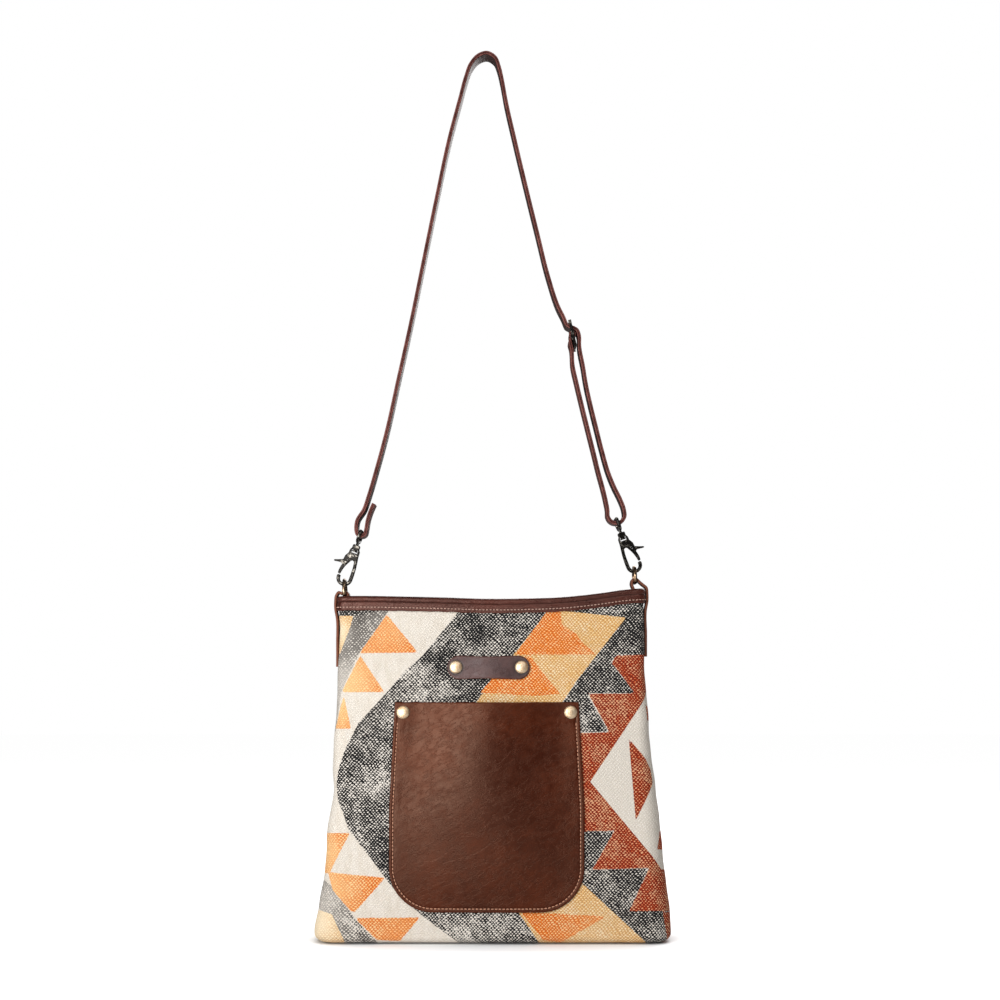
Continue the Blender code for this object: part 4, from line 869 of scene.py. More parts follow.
def drawing_place(points, beyond):
    """Where points of the wall lie in the print's drawing. beyond is the length of cloth round
    the corner, which carries the drawing on outwards."""
    depth = points[:, 1] - CAMERA[1]
    x = PHOTO_CENTRE[0] + FOCAL * (points[:, 0] - CAMERA[0]) / depth + beyond / PIXEL
    y = PHOTO_CENTRE[1] - FOCAL * (points[:, 2] - CAMERA[2]) / depth
    drawing = np.stack([(x - DRAWING_ZERO[0]) * UNITS, (y - DRAWING_ZERO[1]) * UNITS], axis=-1)
    drawing[:, 1] = np.minimum(drawing[:, 1], DRAWING_END)
    return drawing


def ink_marks(place):
    """Distances to each ink's outline in millimetres, with the later inks over the first."""
    to_mm = PIXEL / MM / UNITS
    marks = {}
    for ink, shapes in PRINT.items():
        field = np.max([signed_distance(place, shape) for shape in shapes], axis=0) * to_mm
        marks[ink] = np.clip(field, -8.0, 8.0)
    over, cream = marks.pop("black_over_rust"), marks["ink_cream"]
    rust = np.minimum(np.minimum(marks["ink_rust"], -over), -cream)
    marks["ink_black"] = np.maximum(marks["ink_black"], over)
    marks["ink_rust"] = np.maximum(rust, marks.pop("rust_over_cream"))
    marks["ink_cream"] = np.minimum(cream, -marks["ink_rust"])
    marks["ink_black"] = np.minimum(marks["ink_black"], 0.5 - marks["ink_rust"])
    for mark, table in (("worn", WORN), ("faded", FADED)):
        away = np.linalg.norm(place[:, None] - table[None, :, :2], axis=-1) / table[None, :, 2]
        marks[mark] = np.clip((table[None, :, 3] * np.exp(-away**2)).sum(axis=1), -0.5, 0.9)
    return marks


print("shapes in the print:", sum(len(shapes) for shapes in PRINT.values()))

# %% [markdown]
# ## Canvas panels and base
#
# Each panel is one fine grid that turns in under the base and ends inside the binding. The
# seams at the sides are drawn in, as two edges sewn together are.

# %% Canvas panels


def cloth_lengths(grid):
    """Lengths along the rows and columns of a grid, in metres, for thread coordinates."""
    across = np.linalg.norm(np.diff(grid, axis=1), axis=-1)
    up = np.linalg.norm(np.diff(grid, axis=0), axis=-1)
    across = np.concatenate([np.zeros((len(grid), 1)), np.cumsum(across, axis=1)], axis=1)
    up = np.concatenate([np.zeros((1, grid.shape[1])), np.cumsum(up, axis=0)], axis=0)
    middle = grid.shape[1] // 2
    return np.stack([across[:, middle:middle + 1] - across, up], axis=-1)


def beyond_corner(columns, grid):
    """Length of cloth past the face's edge that the front view doesn't show, with its sign."""
    front, side, cosine, _ = columns.T
    height = grid[..., 2] + HANG_HEIGHT
    rounding = smooth_value(DEPTHS, 3, height)
    deep = smooth_value(DEPTHS, 1, height) / 2
    turned = np.arcsin(np.clip(np.abs(cosine), 0.0, 1.0))
    past = rounding * (turned - np.abs(cosine)) + (1 - side) * (deep - rounding)
    return past * np.sign(front)


panel_columns = wall_columns(150, 12, 8)
bare_wall = wall_rows(panel_columns, 0.0, 150, 1.6 * MM)
wall_out = outward_ways(bare_wall)
seam = np.exp(-(bare_wall[..., 1] / (1.5 * MM)) ** 2)
stand = lift(bare_wall[..., 0], bare_wall[..., 2] + HANG_HEIGHT) - 0.9 * MM * seam
stand *= np.clip(bare_wall[..., 2] + HANG_HEIGHT, 0.0, BASE_ROUND) / BASE_ROUND
outer_wall = bare_wall + wall_out * stand[..., None]
inner_wall = bare_wall - wall_out * CANVAS
print_marks = ink_marks(drawing_place(bare_wall.reshape(-1, 3),
                                      beyond_corner(panel_columns, bare_wall).ravel()))
wall_threads = cloth_lengths(bare_wall).reshape(-1, 2)
for name, facing, node in (("canvas_front", 1.0, "front_panel"),
                           ("canvas_back", -1.0, "back_panel")):
    grids = [np.stack([g[..., 0], np.minimum(g[..., 1], -GAP / 4) * facing, g[..., 2]], axis=-1)
             for g in (outer_wall, inner_wall)]
    add_piece(name, *slab(*grids), canvas, "bag", "printed_canvas", (node,),
              np.tile(wall_threads, (2, 1)),
              {ink: np.tile(field, 2) for ink, field in print_marks.items()})

# %% Canvas base
base_columns = panel_columns[1:-1]
base_edge = plan_point(base_columns, np.zeros(len(base_columns)), BASE_LIP + GAP)
base_shares = np.linspace(1.0, -1.0, 25)[:, None]
base_low = np.stack([np.broadcast_to(base_edge[:, 0], (25, len(base_edge))),
                     base_edge[:, 1] * base_shares,
                     np.full((25, len(base_edge)), -HANG_HEIGHT)], axis=-1)
base_marks = ink_marks(drawing_place(base_low.reshape(-1, 3), 0.0))
add_piece("canvas_base", *slab(base_low, base_low + (0.0, 0.0, CANVAS)), canvas, "bag",
          "printed_canvas", ("base_panel",), np.tile(base_low[..., :2].reshape(-1, 2), (2, 1)),
          {ink: np.tile(field, 2) for ink, field in base_marks.items()})

# %% [markdown]
# ## Lining
#
# A bucket of thin cotton inside the canvas, with a wrinkled inner face. It shows above the zip.

# %% Lining
lining_columns = wall_columns(60, 6, 4)


def lining_skin(inset, wrinkle):
    """One face of the lining: closed rings, which narrow to a small one in the floor."""
    front = wall_rows(lining_columns, inset, 60, BINDING + GAP)[2:]
    ring = np.concatenate([front, (front * (1.0, -1.0, 1.0))[:, -2:0:-1]], axis=1)
    way = np.sign(ring[..., 1])
    ripple = wrinkle * (0.5 + 0.5 * np.sin(ring[..., 0] / (6 * MM) + ring[..., 2] / (15 * MM)))
    held = np.clip((rim_height(ring[..., 0]) - 12 * MM - ring[..., 2] - HANG_HEIGHT) / (9 * MM),
                   0.0, 1.0)
    ring[..., 1] -= way * ripple * held
    shrink = np.linspace(0.1, 0.9, 6)[:, None, None]
    centre = ring[0].mean(axis=0)
    floor_rings = centre + (ring[0] - centre) * shrink
    return np.concatenate([floor_rings, ring])


lining_out = lining_skin(CANVAS + GAP, 0.0)
lining_in = lining_skin(CANVAS + GAP + LINING, 0.7 * MM)
lining_rows, lining_round = lining_out.shape[:2]
lining_size = lining_rows * lining_round
lining_faces = grid_faces(lining_rows, lining_round, close_columns=True).tolist()
lining_faces += grid_faces(lining_rows, lining_round, close_columns=True,
                           start=lining_size)[:, ::-1].tolist()
ring_index = np.arange(lining_round)
lining_faces.append(ring_index[::-1].tolist())
lining_faces.append((ring_index + lining_size).tolist())
top_index = ring_index + lining_size - lining_round
top_next = np.roll(top_index, -1)
lining_faces += np.stack([top_index, top_next, top_next + lining_size,
                          top_index + lining_size], axis=-1).tolist()
lining_threads = cloth_lengths(lining_out).reshape(-1, 2)
add_piece("lining_bucket", np.concatenate([lining_out.reshape(-1, 3), lining_in.reshape(-1, 3)]),
          lining_faces, lining_cloth, "bag", "lining_cloth", ("lining",),
          np.tile(lining_threads, (2, 1)))

# %% [markdown]
# ## Binding
#
# A leather strip is folded over the rim. Its fold makes a roll that catches the light, a crease
# lies under the roll, and a row of stitches sits in a shallow groove near the lower edge. The
# crease and the groove are painted dark, as shade.

# %% Binding
STITCH_DROP = 8.2 * MM            # from the rim down to the row of stitches
# How far out of the canvas's face, and how far up from the rim. A third number of 1 marks a cut
# edge, and 2 a dark line of painted shade, in the crease and in the stitches' groove.
BINDING_OUTSIDE = (
    (0.3, -10.6, 1), (1.25, -10.7, 1), (1.55, -10.3, 0), (1.6, -9.2, 0), (1.35, -8.2, 2),
    (1.6, -7.4, 0), (1.62, -5.6, 0), (1.6, -4.4, 0), (1.2, -3.9, 2), (1.55, -3.4, 0),
    (1.85, -2.4, 0), (1.8, -1.3, 0), (1.2, -0.3, 0), (0.1, 0.35, 0), (-1.6, 0.6, 0),
)
BINDING_INSIDE = (
    (-3.4, 0.35, 0), (-4.4, -0.3, 0), (-4.8, -1.5, 0), (-4.8, -4.4, 0), (-4.8, -8.0, 0),
    (-4.8, -10.4, 1), (-3.6, -10.5, 1), (-3.5, -6.0, 0), (-3.5, -1.4, 0), (0.25, -1.4, 0),
    (0.25, -6.0, 0),
)
binding_section = np.array(BINDING_OUTSIDE + BINDING_INSIDE)
binding_columns = wall_columns(120, 8, 5)
binding_rim_x = plan_point(binding_columns, np.full(len(binding_columns), RIM_MID), 0.0)[:, 0]


def binding_ring(out, rise):
    """A closed ring round the rim, a distance out of the canvas's face and up from the rim."""
    ripple = 0.12 * MM * np.sin(binding_rim_x / (2.2 * MM)) * np.clip(-rise / (8 * MM), 0, 1)
    half = plan_point(binding_columns, rim_height(binding_rim_x) + rise + ripple, -out)
    return np.concatenate([half, (half * (1.0, -1.0, 1.0))[-2:0:-1]])


binding_grid = np.array([binding_ring(out * MM, rise * MM) for out, rise, _ in binding_section])
ring_size = binding_grid.shape[1]
binding_kinds = np.repeat(binding_section[:, 2], ring_size)
# The dark_line mark paints shade into the crease and the stitches' groove.
add_piece("binding", binding_grid,
          grid_faces(len(binding_section), ring_size, close_rows=True, close_columns=True),
          binding_leather, "bag", "brown_leather", ("rim_binding",),
          marks={"cut_edge": (binding_kinds == 1) * 0.6, "dark_line": (binding_kinds == 2) * 0.8})
for name, facing in (("binding_stitches_front", 1.0), ("binding_stitches_back", -1.0)):
    heights = rim_height(binding_rim_x) - STITCH_DROP
    line = plan_point(binding_columns, heights, -1.5 * MM)[4:-4]
    away = (line - plan_point(binding_columns, heights, 0.0)[4:-4]) * (1.0, facing, 1.0)
    sewn(name, line * (1.0, facing, 1.0), away, 2.7 * MM, 1.8 * MM, 0.42 * MM, pink_thread, "bag",
         "brown_leather")

# %% [markdown]
# ## Pocket
#
# A patch of thick leather, sewn down along its sides and round its bottom. Its mouth stands off
# the canvas in the middle, and its edges are rounded. The stitches sit in a groove.

# %% Pocket
STITCH_IN = 3.0 * MM


def pocket_skin(x, height):
    """Y of the pocket's back face: on the folded canvas, with room towards the mouth."""
    share = np.clip((height - POCKET_BOTTOM) / (POCKET_TOP - POCKET_BOTTOM), 0.0, 1.0)
    across = x / pocket_half(height)
    middle = np.clip(1 - (across / 0.82) ** 2, 0.0, 1.0) ** 2
    room = POCKET_ROOM * middle * np.sin(share * math.pi / 2) ** 1.2
    return front_y(x, height) - lift(x, height) - GAP - room


def pocket_outline(inset):
    """Points of X and height along the pocket's sides and bottom, from its top right corner."""
    turn = np.linspace(0.0, math.pi / 2, 40)
    low = POCKET_BOTTOM + inset + (POCKET_CORNER - inset) * (1 - np.cos(turn))
    heights = np.concatenate([low, np.linspace(low[-1], POCKET_TOP - inset, 60)[1:]])[::-1]
    x = pocket_half(heights, inset)
    bottom = np.linspace(x[-1], -x[-1], 80)[1:-1]
    right = np.stack([x, heights], axis=-1)
    left = (right * (-1.0, 1.0))[::-1]
    return np.concatenate([right, np.stack([bottom, 0 * bottom + heights[-1]], axis=-1), left])


def rounded_thickness(thick, inside):
    """Thickness of leather near an edge, from the distance in from the edge."""
    share = np.clip(inside / (0.9 * MM), 0.0, 1.0)
    return thick * (0.30 + 0.70 * np.sqrt(1 - (1 - share) ** 2))


turn = np.linspace(0.0, math.pi / 2, 22)
low_rows = POCKET_BOTTOM + POCKET_CORNER * (1 - np.cos(turn))
top_rows = POCKET_TOP - np.array((1.4, 0.8, 0.4, 0.15, 0.0)) * MM
pocket_heights = np.concatenate([low_rows, np.linspace(low_rows[-1], top_rows[0], 70)[1:-1],
                                 top_rows])[:, None]
pocket_shares = np.sin(np.linspace(-math.pi / 2, math.pi / 2, 131))[None, :]
pocket_x = pocket_half(pocket_heights) * pocket_shares
pocket_z = pocket_heights + 0 * pocket_x
flat_place = np.stack([pocket_x.ravel(), pocket_z.ravel()], axis=-1)
pocket_inside = signed_distance(flat_place, pocket_outline(0.0)).reshape(pocket_x.shape)
pocket_inside = np.maximum(pocket_inside, 0.0)
groove_away = np.where(pocket_z > POCKET_TOP - 9 * MM, 9 * MM, pocket_inside - STITCH_IN)
groove = np.exp(-(groove_away / (0.8 * MM)) ** 2)
puff = np.clip((pocket_inside - STITCH_IN) / (6 * MM), 0.0, 1.0)
dents = 0.22 * np.sin(pocket_x / (19 * MM) + pocket_z / (13 * MM))
dents = dents + 0.18 * np.sin(pocket_z / (8 * MM) - pocket_x / (34 * MM) + 1.0)
dents = (dents - 0.35) * MM * puff
pocket_back = pocket_skin(pocket_x, pocket_z)
pocket_front = pocket_back - rounded_thickness(POCKET_THICK, pocket_inside) + 0.35 * MM * groove
pocket_front = pocket_front - np.minimum(dents + 0.35 * MM, 0.6 * MM) * puff * 0.6
# The stitches' groove is painted dark, as shade, by the dark_line mark.
pocket_marks = {"cut_edge": np.exp(-pocket_inside / (0.7 * MM)) * 0.5,
                "dark_line": groove * 0.5}
pocket_marks = {mark: np.tile(values.ravel(), 2) for mark, values in pocket_marks.items()}
add_piece("pocket_patch",
          *slab(np.stack([pocket_x, pocket_front, pocket_z - HANG_HEIGHT], axis=-1),
                np.stack([pocket_x, pocket_back, pocket_z - HANG_HEIGHT], axis=-1)),
          pocket_leather, "bag", "brown_leather", ("pocket",), marks=pocket_marks)
stitch_line = pocket_outline(STITCH_IN)
stitch_line = stitch_line[stitch_line[:, 1] < POCKET_TOP - 13.5 * MM]
line_y = pocket_skin(stitch_line[:, 0], stitch_line[:, 1]) - POCKET_THICK + 0.2 * MM
line_points = np.stack([stitch_line[:, 0], line_y, stitch_line[:, 1] - HANG_HEIGHT], axis=-1)
sewn("pocket_stitches", line_points, np.tile((0.0, -1.0, 0.0), (len(line_points), 1)),
     2.9 * MM, 2.2 * MM, 0.48 * MM, tan_thread, "bag", "brown_leather")

# %% [markdown]
# ## Strip
#
# A short strap of leather with round ends, riveted on above the pocket. Its waist is drawn in a
# little, and the leather is pressed in, and darker, in a ring round each rivet.

# %% Strip
strip_round = STRIP_HEIGHT / 2
strip_turn = np.linspace(0.0, math.pi / 2, 24)
strip_ends = STRIP_LENGTH / 2 - strip_round * (1 - np.cos(strip_turn[::-1]))
strip_along = np.concatenate([-strip_ends[::-1],
                              np.linspace(-strip_ends[0], strip_ends[0], 50)[1:-1], strip_ends])
strip_past = np.clip(np.abs(strip_along) - (STRIP_LENGTH / 2 - strip_round), 0.0, strip_round)
strip_half = np.maximum(np.sqrt(strip_round**2 - strip_past**2), strip_round * 0.2)
strip_half = strip_half * (1 - 0.07 * np.cos(np.clip(strip_along / strip_ends[0], -1, 1)
                                             * math.pi / 2))
strip_across = np.sin(np.linspace(-math.pi / 2, math.pi / 2, 33))
strip_x = STRIP_X + strip_along[:, None] + 0 * strip_across[None, :]
strip_z = STRIP_Z + strip_half[:, None] * strip_across[None, :]
strip_edge = np.concatenate([
    np.stack([STRIP_X + strip_along, STRIP_Z + strip_half], axis=-1),
    np.stack([STRIP_X + strip_along, STRIP_Z - strip_half], axis=-1)[::-1]])
strip_inside = signed_distance(np.stack([strip_x.ravel(), strip_z.ravel()], axis=-1), strip_edge)
strip_inside = np.maximum(strip_inside, 0.0).reshape(strip_x.shape)
strip_back = front_y(strip_x, strip_z) - lift(strip_x, strip_z) - GAP
rivet_away = np.min([np.hypot(strip_x - x, strip_z - z) for x, z in RIVETS[2:]], axis=0)
pressed = np.exp(-((rivet_away - 5.3 * MM) / (0.9 * MM)) ** 2)
middle_bow = 0.8 * MM * np.cos(np.clip((strip_x - STRIP_X) / (22 * MM), -1, 1) * math.pi / 2) ** 2
strip_front = strip_back - rounded_thickness(STRIP_THICK, strip_inside) - middle_bow
strip_front = strip_front + 0.15 * MM * pressed
# The leather is darker in the same ring round each rivet, by the dark_line mark.
strip_marks = {"cut_edge": np.exp(-strip_inside / (0.8 * MM)) * 0.8, "dark_line": pressed * 0.9}
strip_marks = {mark: np.tile(values.ravel(), 2) for mark, values in strip_marks.items()}
add_piece("riveted_strip",
          *slab(np.stack([strip_x, strip_front, strip_z - HANG_HEIGHT], axis=-1),
                np.stack([strip_x, strip_back - middle_bow, strip_z - HANG_HEIGHT], axis=-1)),
          strip_leather, "bag", "brown_leather", ("loop_strip",), marks=strip_marks)

# %% [markdown]
# ## Strap
#
# Two layers of leather glued back to back, 17 mm wide. The strap's route is drawn in X and
# height: its place down from the top is a share of the way to the clasp on that side. A smooth
# curve runs through the points, and a section with a groove in each edge is carried along it.

# %% Strap route
STRAP_WIDTH, STRAP_THICK, STRAP_SKIVED = 17.0 * MM, 3.2 * MM, 1.2 * MM
STRAP_SHOWN = 2.8 * MM            # drawn a little thinner than the frame's, with fuller faces
CLASP_LENGTH = 39.9 * MM
LEFT_WIRE, RIGHT_WIRE = (-111.2 * MM, 278.6 * MM), (114.7 * MM, 288.6 * MM)
LEFT_TILT, RIGHT_TILT = 19.8, 21.1
EYE_WIRE = 1.3 * MM
SLIDER_X, SLIDER_SHARE, SLIDER_TILT = 66.3 * MM, 0.6018, 13.0
SLIDER_PITCH, SLIDER_BAR = 9.5 * MM, 1.1 * MM
STRAP_TAIL = ((-87.8, 0.9419), (-90.6, 0.9592), (-92.6, 0.9771))
STRAP_LEFT = (
    (-95.3, 0.9538), (-91.9, 0.9270), (-85.6, 0.8691), (-78.4, 0.7971), (-68.6, 0.6791),
    (-58.9, 0.5608), (-49.3, 0.4341), (-39.0, 0.2991), (-28.9, 0.1724), (-20.7, 0.0896),
    (-16.4, 0.0466), (-12.4, 0.0184), (-6.6, 0.0011),
)
STRAP_RIGHT = (
    (6.2, 0.0053), (9.3, 0.0253), (11.2, 0.0470), (14.7, 0.0990), (21.1, 0.1771), (30.0, 0.2810),
    (39.2, 0.3850), (47.9, 0.4809), (55.6, 0.5448),
)
STRAP_DOUBLED = (
    (74.6, 0.6713), (76.9, 0.7102), (80.0, 0.7494), (84.6, 0.8013), (89.3, 0.8533),
    (94.4, 0.9020), (99.0, 0.9331), (103.4, 0.9578), (106.4, 0.9812),
)
STRAP_RETURN = (
    (93.6, 0.9812), (92.3, 0.9617), (89.7, 0.9314), (86.7, 0.9011), (83.1, 0.8600),
    (78.2, 0.8058), (73.2, 0.7494), (69.5, 0.7060), (66.6, 0.6699),
)


def clasp_place(wire, tilt, side, across, along):
    """X and height of a point in a clasp's own frame. Side is -1 left, 1 right."""
    lean = math.radians(tilt)
    return (wire[0] + side * (across * math.cos(lean) - along * math.sin(lean)),
            wire[1] + across * math.sin(lean) + along * math.cos(lean))


left_bar = clasp_place(LEFT_WIRE, LEFT_TILT, -1.0, 0.0, CLASP_LENGTH)
right_bar = clasp_place(RIGHT_WIRE, RIGHT_TILT, 1.0, 0.0, CLASP_LENGTH)


def strap_leg(points, bar):
    return [(x * MM, HANG_HEIGHT - share * (HANG_HEIGHT - bar[1])) for x, share in points]


def slider_place(off, down):
    """X and height of a point off the adjuster's plane and down along it."""
    lean = math.radians(SLIDER_TILT)
    middle_height = HANG_HEIGHT - SLIDER_SHARE * (HANG_HEIGHT - right_bar[1])
    return (SLIDER_X + off * math.cos(lean) + down * math.sin(lean),
            middle_height + off * math.sin(lean) - down * math.cos(lean))


def arc(centre, radius, start, end, steps=5):
    """Points on an arc in X and height. Angles are in degrees from +X."""
    turns = np.radians(np.linspace(start, end, steps))
    return [(centre[0] + radius * math.cos(a), centre[1] + radius * math.sin(a)) for a in turns]


def strap_route():
    """The strap's middle line: left clasp, over the top, through the adjuster, round the
    right clasp's bar and back up to the adjuster's middle bar."""
    reach = EYE_WIRE + GAP + STRAP_THICK / 2
    bar = SLIDER_BAR + GAP
    beside = bar + STRAP_THICK / 2 + 0.1 * MM
    fold = bar + STRAP_SKIVED / 2 + 0.1 * MM
    over = fold + STRAP_SKIVED / 2 + GAP + STRAP_THICK / 2 + 0.1 * MM
    crossing = math.degrees(math.asin((beside + over) / SLIDER_PITCH))
    route = strap_leg(STRAP_TAIL, left_bar) + arc(left_bar, reach * 1.12, 0.0, -180.0, 7)
    route += [(left_bar[0] - 3.2 * MM, left_bar[1] + 7.6 * MM)] + strap_leg(STRAP_LEFT, left_bar)
    route += [(0.0, HANG_HEIGHT + STRAP_THICK / 2)] + strap_leg(STRAP_RIGHT, right_bar)
    route += [slider_place(-beside - 0.6 * MM, -SLIDER_PITCH - 4.0 * MM)]
    route += [slider_place(-beside * math.cos(a), beside * math.sin(a) - SLIDER_PITCH)
              for a in np.radians((0.0, crossing / 2, crossing))]
    route += [slider_place(over * math.sin(a), -over * math.cos(a))
              for a in np.radians((90.0 - crossing, 90.0 - crossing / 2, 90.0))]
    route += [slider_place(over, 3.0 * MM), slider_place(beside + 0.2 * MM, SLIDER_PITCH)]
    route += strap_leg(STRAP_DOUBLED, right_bar)
    route += arc((right_bar[0], right_bar[1] + 3.4 * MM), reach + 3.4 * MM, -15.0, -165.0, 6)
    route += strap_leg(STRAP_RETURN, right_bar)
    route += [slider_place(-beside, SLIDER_PITCH)]
    route += [slider_place(-beside - 0.1 * MM, SLIDER_PITCH * 0.6)]
    skived = [slider_place(-fold - 0.25 * MM, 2.4 * MM)]
    skived += [slider_place(fold * math.sin(a), -fold * math.cos(a))
               for a in np.radians((-90, -45, 0, 45, 90, 125))]
    return route, skived + [slider_place(0.5 * MM, 4.4 * MM), slider_place(0.0, 6.4 * MM)]


def smooth_path(points, turn_limit, length_limit):
    """Points on a smooth curve through the given ones, closer together where it bends, and how
    far along the whole path each one is."""
    given = np.asarray(points, float)
    knots = np.concatenate([[0.0], np.cumsum(np.linalg.norm(np.diff(given, axis=0), axis=1))])
    fine = np.linspace(0.0, knots[-1], 60 * len(given))
    dense = smooth_curve(knots, given, fine)
    steps = np.diff(dense, axis=0)
    turned = np.abs(np.diff(np.unwrap(np.arctan2(steps[:, 1], steps[:, 0]))))
    spent = np.cumsum(turned / math.radians(turn_limit)
                      + np.linalg.norm(steps[1:], axis=1) / length_limit)
    kept = np.flatnonzero(np.diff(np.floor(spent), prepend=0.0)) + 1
    kept = np.concatenate([[0], kept, [len(dense) - 1]])
    return dense[kept], fine[kept] / knots[-1]


print("clasp bars at", np.round([left_bar, right_bar], 4).tolist())

# %% Strap mesh
# Across from the edge, and out from the middle line, of one edge of the strap in millimetres. A
# third number of 1 marks a cut edge, and 2 the groove between the layers.
EDGE_SECTION = (
    (-0.55, 1.6, 0), (-0.18, 1.45, 1), (0.0, 1.15, 1), (-0.02, 0.42, 1), (-0.42, 0.10, 2),
    (-0.42, -0.10, 2), (-0.02, -0.42, 1), (0.0, -1.15, 1), (-0.18, -1.45, 1), (-0.55, -1.6, 0),
)


def ribbon(path, width, thickness, sides=EDGE_SECTION, full=1.6):
    """Grid and marks of a flat strap whose middle line runs through X and height. The section's
    first face lies to the right of the way along the path."""
    path = np.asarray(path, float)
    way = np.gradient(path, axis=0)
    way /= np.linalg.norm(way, axis=1)[:, None]
    normal = np.stack([way[:, 1], -way[:, 0]], axis=-1)
    side = np.array(sides, float)
    reach = width / 2 / MM + side[0, 0]
    face = np.linspace(-reach, reach, 7)[1:-1]
    right = side + (width / 2 / MM, 0.0, 0.0)
    left = right[::-1] * (-1.0, 1.0, 1.0)
    crown = 0.12 * (1 - (face / reach) ** 2)
    top = np.stack([face, full + crown, 0 * face], axis=-1)
    bottom = np.stack([face[::-1], -full - crown[::-1], 0 * face], axis=-1)
    section = np.concatenate([top, right, bottom, left])
    scale = np.broadcast_to(np.asarray(thickness) / (2 * full * MM), len(path))[:, None]
    off = section[None, :, 1] * MM * scale
    grid = np.stack([path[:, :1] + normal[:, :1] * off,
                     np.broadcast_to(section[None, :, 0] * MM, off.shape),
                     path[:, 1:] + normal[:, 1:] * off - HANG_HEIGHT], axis=-1)
    rows, count = grid.shape[:2]
    faces = grid_faces(rows, count, close_columns=True).tolist()
    faces += [list(range(count))[::-1], list(range((rows - 1) * count, rows * count))]
    kinds = np.tile(section[:, 2], rows)
    # The face on the inside of the strap's loop, turned down at the top, is marked for painted
    # shade.
    under = np.tile((section[:, 1] > 1.5).astype(float), rows)
    marks = {"cut_edge": (kinds == 1) * 1.0, "dark_line": (kinds == 2) * 1.0, "underside_shade": under}
    return grid, faces, marks


route, skived = strap_route()
strap_path, strap_shares = smooth_path(route + skived, 3.0, 4 * MM)
whole = np.concatenate([[0.0], np.cumsum(np.linalg.norm(np.diff(route + skived, axis=0), axis=1))])
thin_from, thin_to = whole[len(route) - 1] / whole[-1], whole[len(route)] / whole[-1]
thin = np.clip((strap_shares - thin_from) / (thin_to - thin_from), 0.0, 1.0)
strap_grid, strap_faces, strap_marks = ribbon(
    strap_path, STRAP_WIDTH, STRAP_SHOWN + (STRAP_SKIVED - STRAP_SHOWN) * thin)
add_piece("long_strap", strap_grid, strap_faces, strap_hide, "strap", "strap_leather",
          ("strap",), marks=strap_marks)

# %% [markdown]
# ## Side tabs
#
# A leather tab is folded over each ring's bar. Its outer leg lies on the bag's side seam, and
# its inner leg reaches down inside the rim.

# %% Side tabs
TAB_WIDTH, TAB_THICK, TAB_INSIDE, TAB_TUCK = 12.2 * MM, 1.9 * MM, 17.0 * MM, 16.0 * MM
TAB_FEET = {"left": 211.0 * MM, "right": 219.0 * MM}
RING_WIRE, RING_ARC, RING_DROP = 1.4 * MM, 8.0 * MM, 4.0 * MM
BINDING_ROLL = 0.6 * MM
TAB_SECTION = ((-0.5, 0.95, 0), (-0.14, 0.82, 1), (0.0, 0.5, 1), (0.0, -0.5, 1),
               (-0.14, -0.82, 1), (-0.5, -0.95, 0))


def tab_route(side, foot, bar):
    """The tab's middle line in X and height, from its inner end over the bar to its foot."""
    column = 1 if side < 0 else 2
    edge = float(smooth_value(EDGES, column, np.array(RIM_MID)))
    top = float(rim_height(edge))
    half = TAB_THICK / 2
    outside = edge + side * (GAP * 2 + BINDING + BINDING_ROLL / 2 + half)
    inside = edge - side * (CANVAS + LINING + BINDING + GAP * 3 + half)
    foot_x = float(smooth_value(EDGES, column, np.array(foot))) + side * (GAP + half)
    wrap = RING_WIRE + GAP + half
    path = [(inside, top - TAB_INSIDE), (inside, top - TAB_INSIDE * 0.6), (inside, top - 3 * MM)]
    path += [(bar[0] - side * wrap * math.cos(a), bar[1] + wrap * math.sin(a))
             for a in np.radians((0, 40, 80, 120, 150))]
    shoulder = top + BINDING_ROLL + half + GAP * 2
    reach = abs(outside - bar[0])
    if reach > 2 * wrap:
        path += [(bar[0] + side * reach * 0.62, shoulder + 1.6 * MM)]
    path += [(outside - side * 0.7 * MM, shoulder - 0.8 * MM), (outside, top - 3.5 * MM)]
    tuck = top - TAB_TUCK
    path += [(outside, top - 9.0 * MM), (outside - side * 1.2 * MM, tuck)]
    return path + [(foot_x, (foot + tuck) / 2), (foot_x, foot)]


wire_run = np.subtract(RIGHT_WIRE, LEFT_WIRE)
wire_up = np.array([-wire_run[1], wire_run[0]]) / np.linalg.norm(wire_run)
for name, side, wire in (("left", -1.0, LEFT_WIRE), ("right", 1.0, RIGHT_WIRE)):
    bar = np.asarray(wire) - wire_up * (RING_ARC + RING_DROP)
    tab_path, _ = smooth_path(tab_route(side, TAB_FEET[name], bar), 6.0, 2 * MM)
    tab_grid, tab_faces, tab_marks = ribbon(tab_path, TAB_WIDTH, TAB_THICK, TAB_SECTION, 0.95)
    add_piece("tab_" + name, tab_grid, tab_faces, tab_leather, "bag", "brown_leather",
              ("side_tab_" + name,), marks=tab_marks)

# %% [markdown]
# ## Zip
#
# Two cloth tapes are sewn inside the rim, and a row of brass teeth is clamped on the near edge
# of each. The rows are half a step apart, because the teeth mesh when the zip is closed.

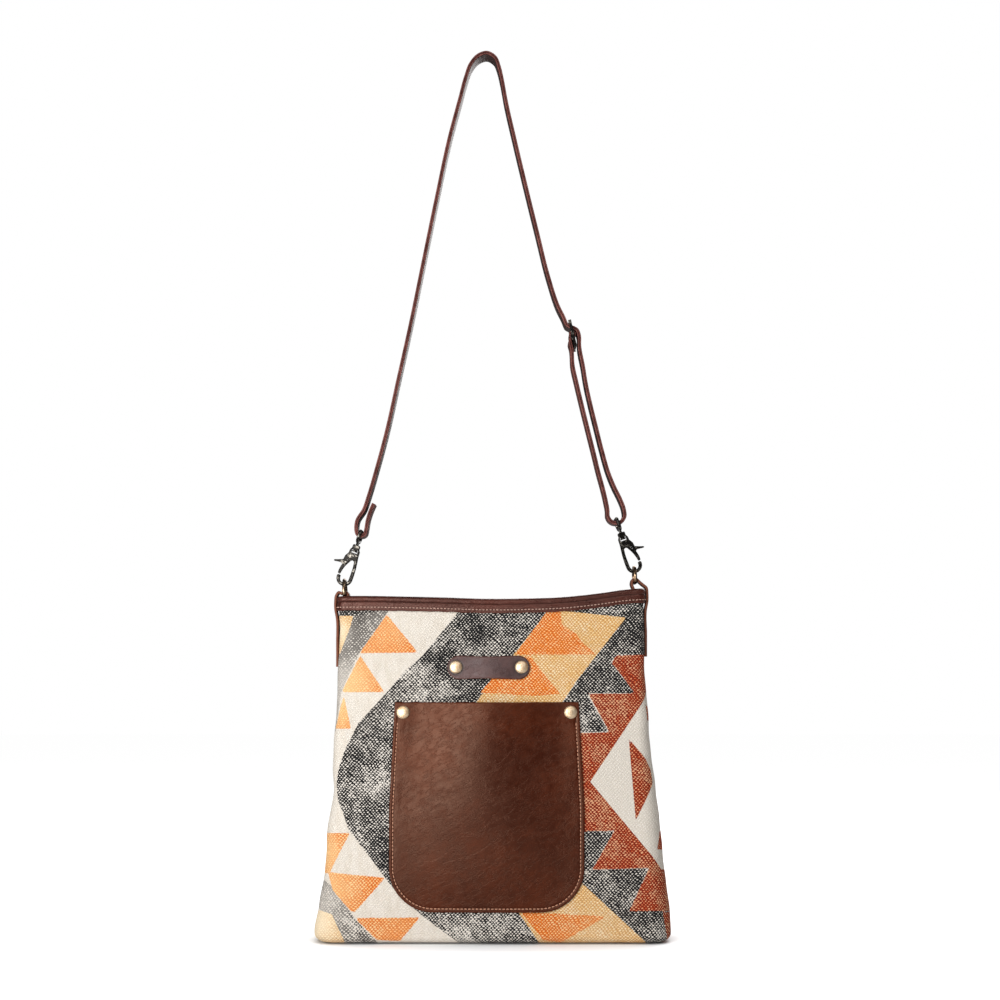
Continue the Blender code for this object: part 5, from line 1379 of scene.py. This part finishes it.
# %% Zip
ZIP_HEIGHT, ZIP_HALF, ZIP_CENTRE = 246.0 * MM, 97.0 * MM, 9.0 * MM
ZIP_TAPE, ZIP_SLOT, ZIP_RIDGE, ZIP_RIDGE_RISE = 0.9 * MM, 1.6 * MM, 1.7 * MM, 0.8 * MM
TOOTH_PITCH = 1.7 * MM
zip_level = ZIP_HEIGHT - HANG_HEIGHT
zip_x = np.linspace(ZIP_CENTRE - ZIP_HALF, ZIP_CENTRE + ZIP_HALF, 120)
zip_reach = -front_y(zip_x, ZIP_HEIGHT) - CANVAS - LINING - GAP * 2 - 0.2 * MM
for name, facing in (("front", -1.0), ("back", 1.0)):
    near = ZIP_SLOT / 2 + 0.25 * MM
    shares = np.linspace(0.0, 1.0, 10)[None, :]
    tape_y = near + (zip_reach[:, None] - near) * shares
    tape_sag = 0.25 * MM * np.sin(zip_x[:, None] / (11 * MM)) * np.sin(shares * math.pi)
    tape = np.stack([zip_x[:, None] + 0 * tape_y, facing * tape_y, zip_level + tape_sag], axis=-1)
    add_piece("tape_" + name, *slab(tape + (0, 0, ZIP_TAPE / 2), tape - (0, 0, ZIP_TAPE / 2)),
              tape_cloth, "bag", "lining_cloth", ("zip_tape_" + name,),
              np.tile(tape[..., :2].reshape(-1, 2), (2, 1)))
    shift = TOOTH_PITCH / 2 if facing > 0 else 0.0
    tooth_x = np.arange(zip_x[0] + TOOTH_PITCH / 2 + shift, zip_x[-1] - TOOTH_PITCH / 2,
                        TOOTH_PITCH)
    high = ZIP_TAPE / 2 + ZIP_RIDGE_RISE
    tooth = np.array([(x * size, ZIP_SLOT / 2 + y, z * size)
                      for y, size in ((0.0, 0.75), (0.5 * MM, 1.0), (ZIP_RIDGE, 0.9))
                      for x, z in ((-0.5 * MM, -high), (0.5 * MM, -high), (0.5 * MM, high),
                                   (-0.5 * MM, high))])
    tooth_places = np.stack([tooth_x, 0 * tooth_x, 0 * tooth_x + zip_level], axis=-1)
    teeth = tooth[None] * (1.0, facing, 1.0) + tooth_places[:, None]
    one = grid_faces(3, 4, close_columns=True)
    one = np.concatenate([one, [[3, 2, 1, 0]], [[8, 9, 10, 11]]])
    tooth_faces = (one[None] + (np.arange(len(tooth_x)) * 12)[:, None, None]).reshape(-1, 4)
    add_piece("teeth_" + name, teeth, tooth_faces, brass, "bag", "pale_brass", sharp=30.0)

# %% [markdown]
# ## Metal pieces
#
# The rivets, adjuster, clasps, rings and the zip's slider keep the frame's own shapes, and
# each gets its metal.

# %% Metal finishes
SIDES = ("left", "right")
METALS = (
    (gunmetal, ["strap_slider"] + ["clasp_%s_%s" % (part, side) for side in SIDES
                                   for part in ("eye", "hook", "pin", "trigger")]),
    (ring_metal, ["ring_%s" % side for side in SIDES]),
    (brass, ["%s_rivet_%s" % (part, side) for side in SIDES for part in ("pocket", "strip")]
     + ["zip_slider", "zip_pull", "zip_bottom_stop", "zip_top_stop_front", "zip_top_stop_back"]),
)
for metal, names in METALS:
    for name in names:
        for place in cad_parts[name].material_slots:
            place.material = metal
print("metal pieces:", sum(len(names) for _, names in METALS))
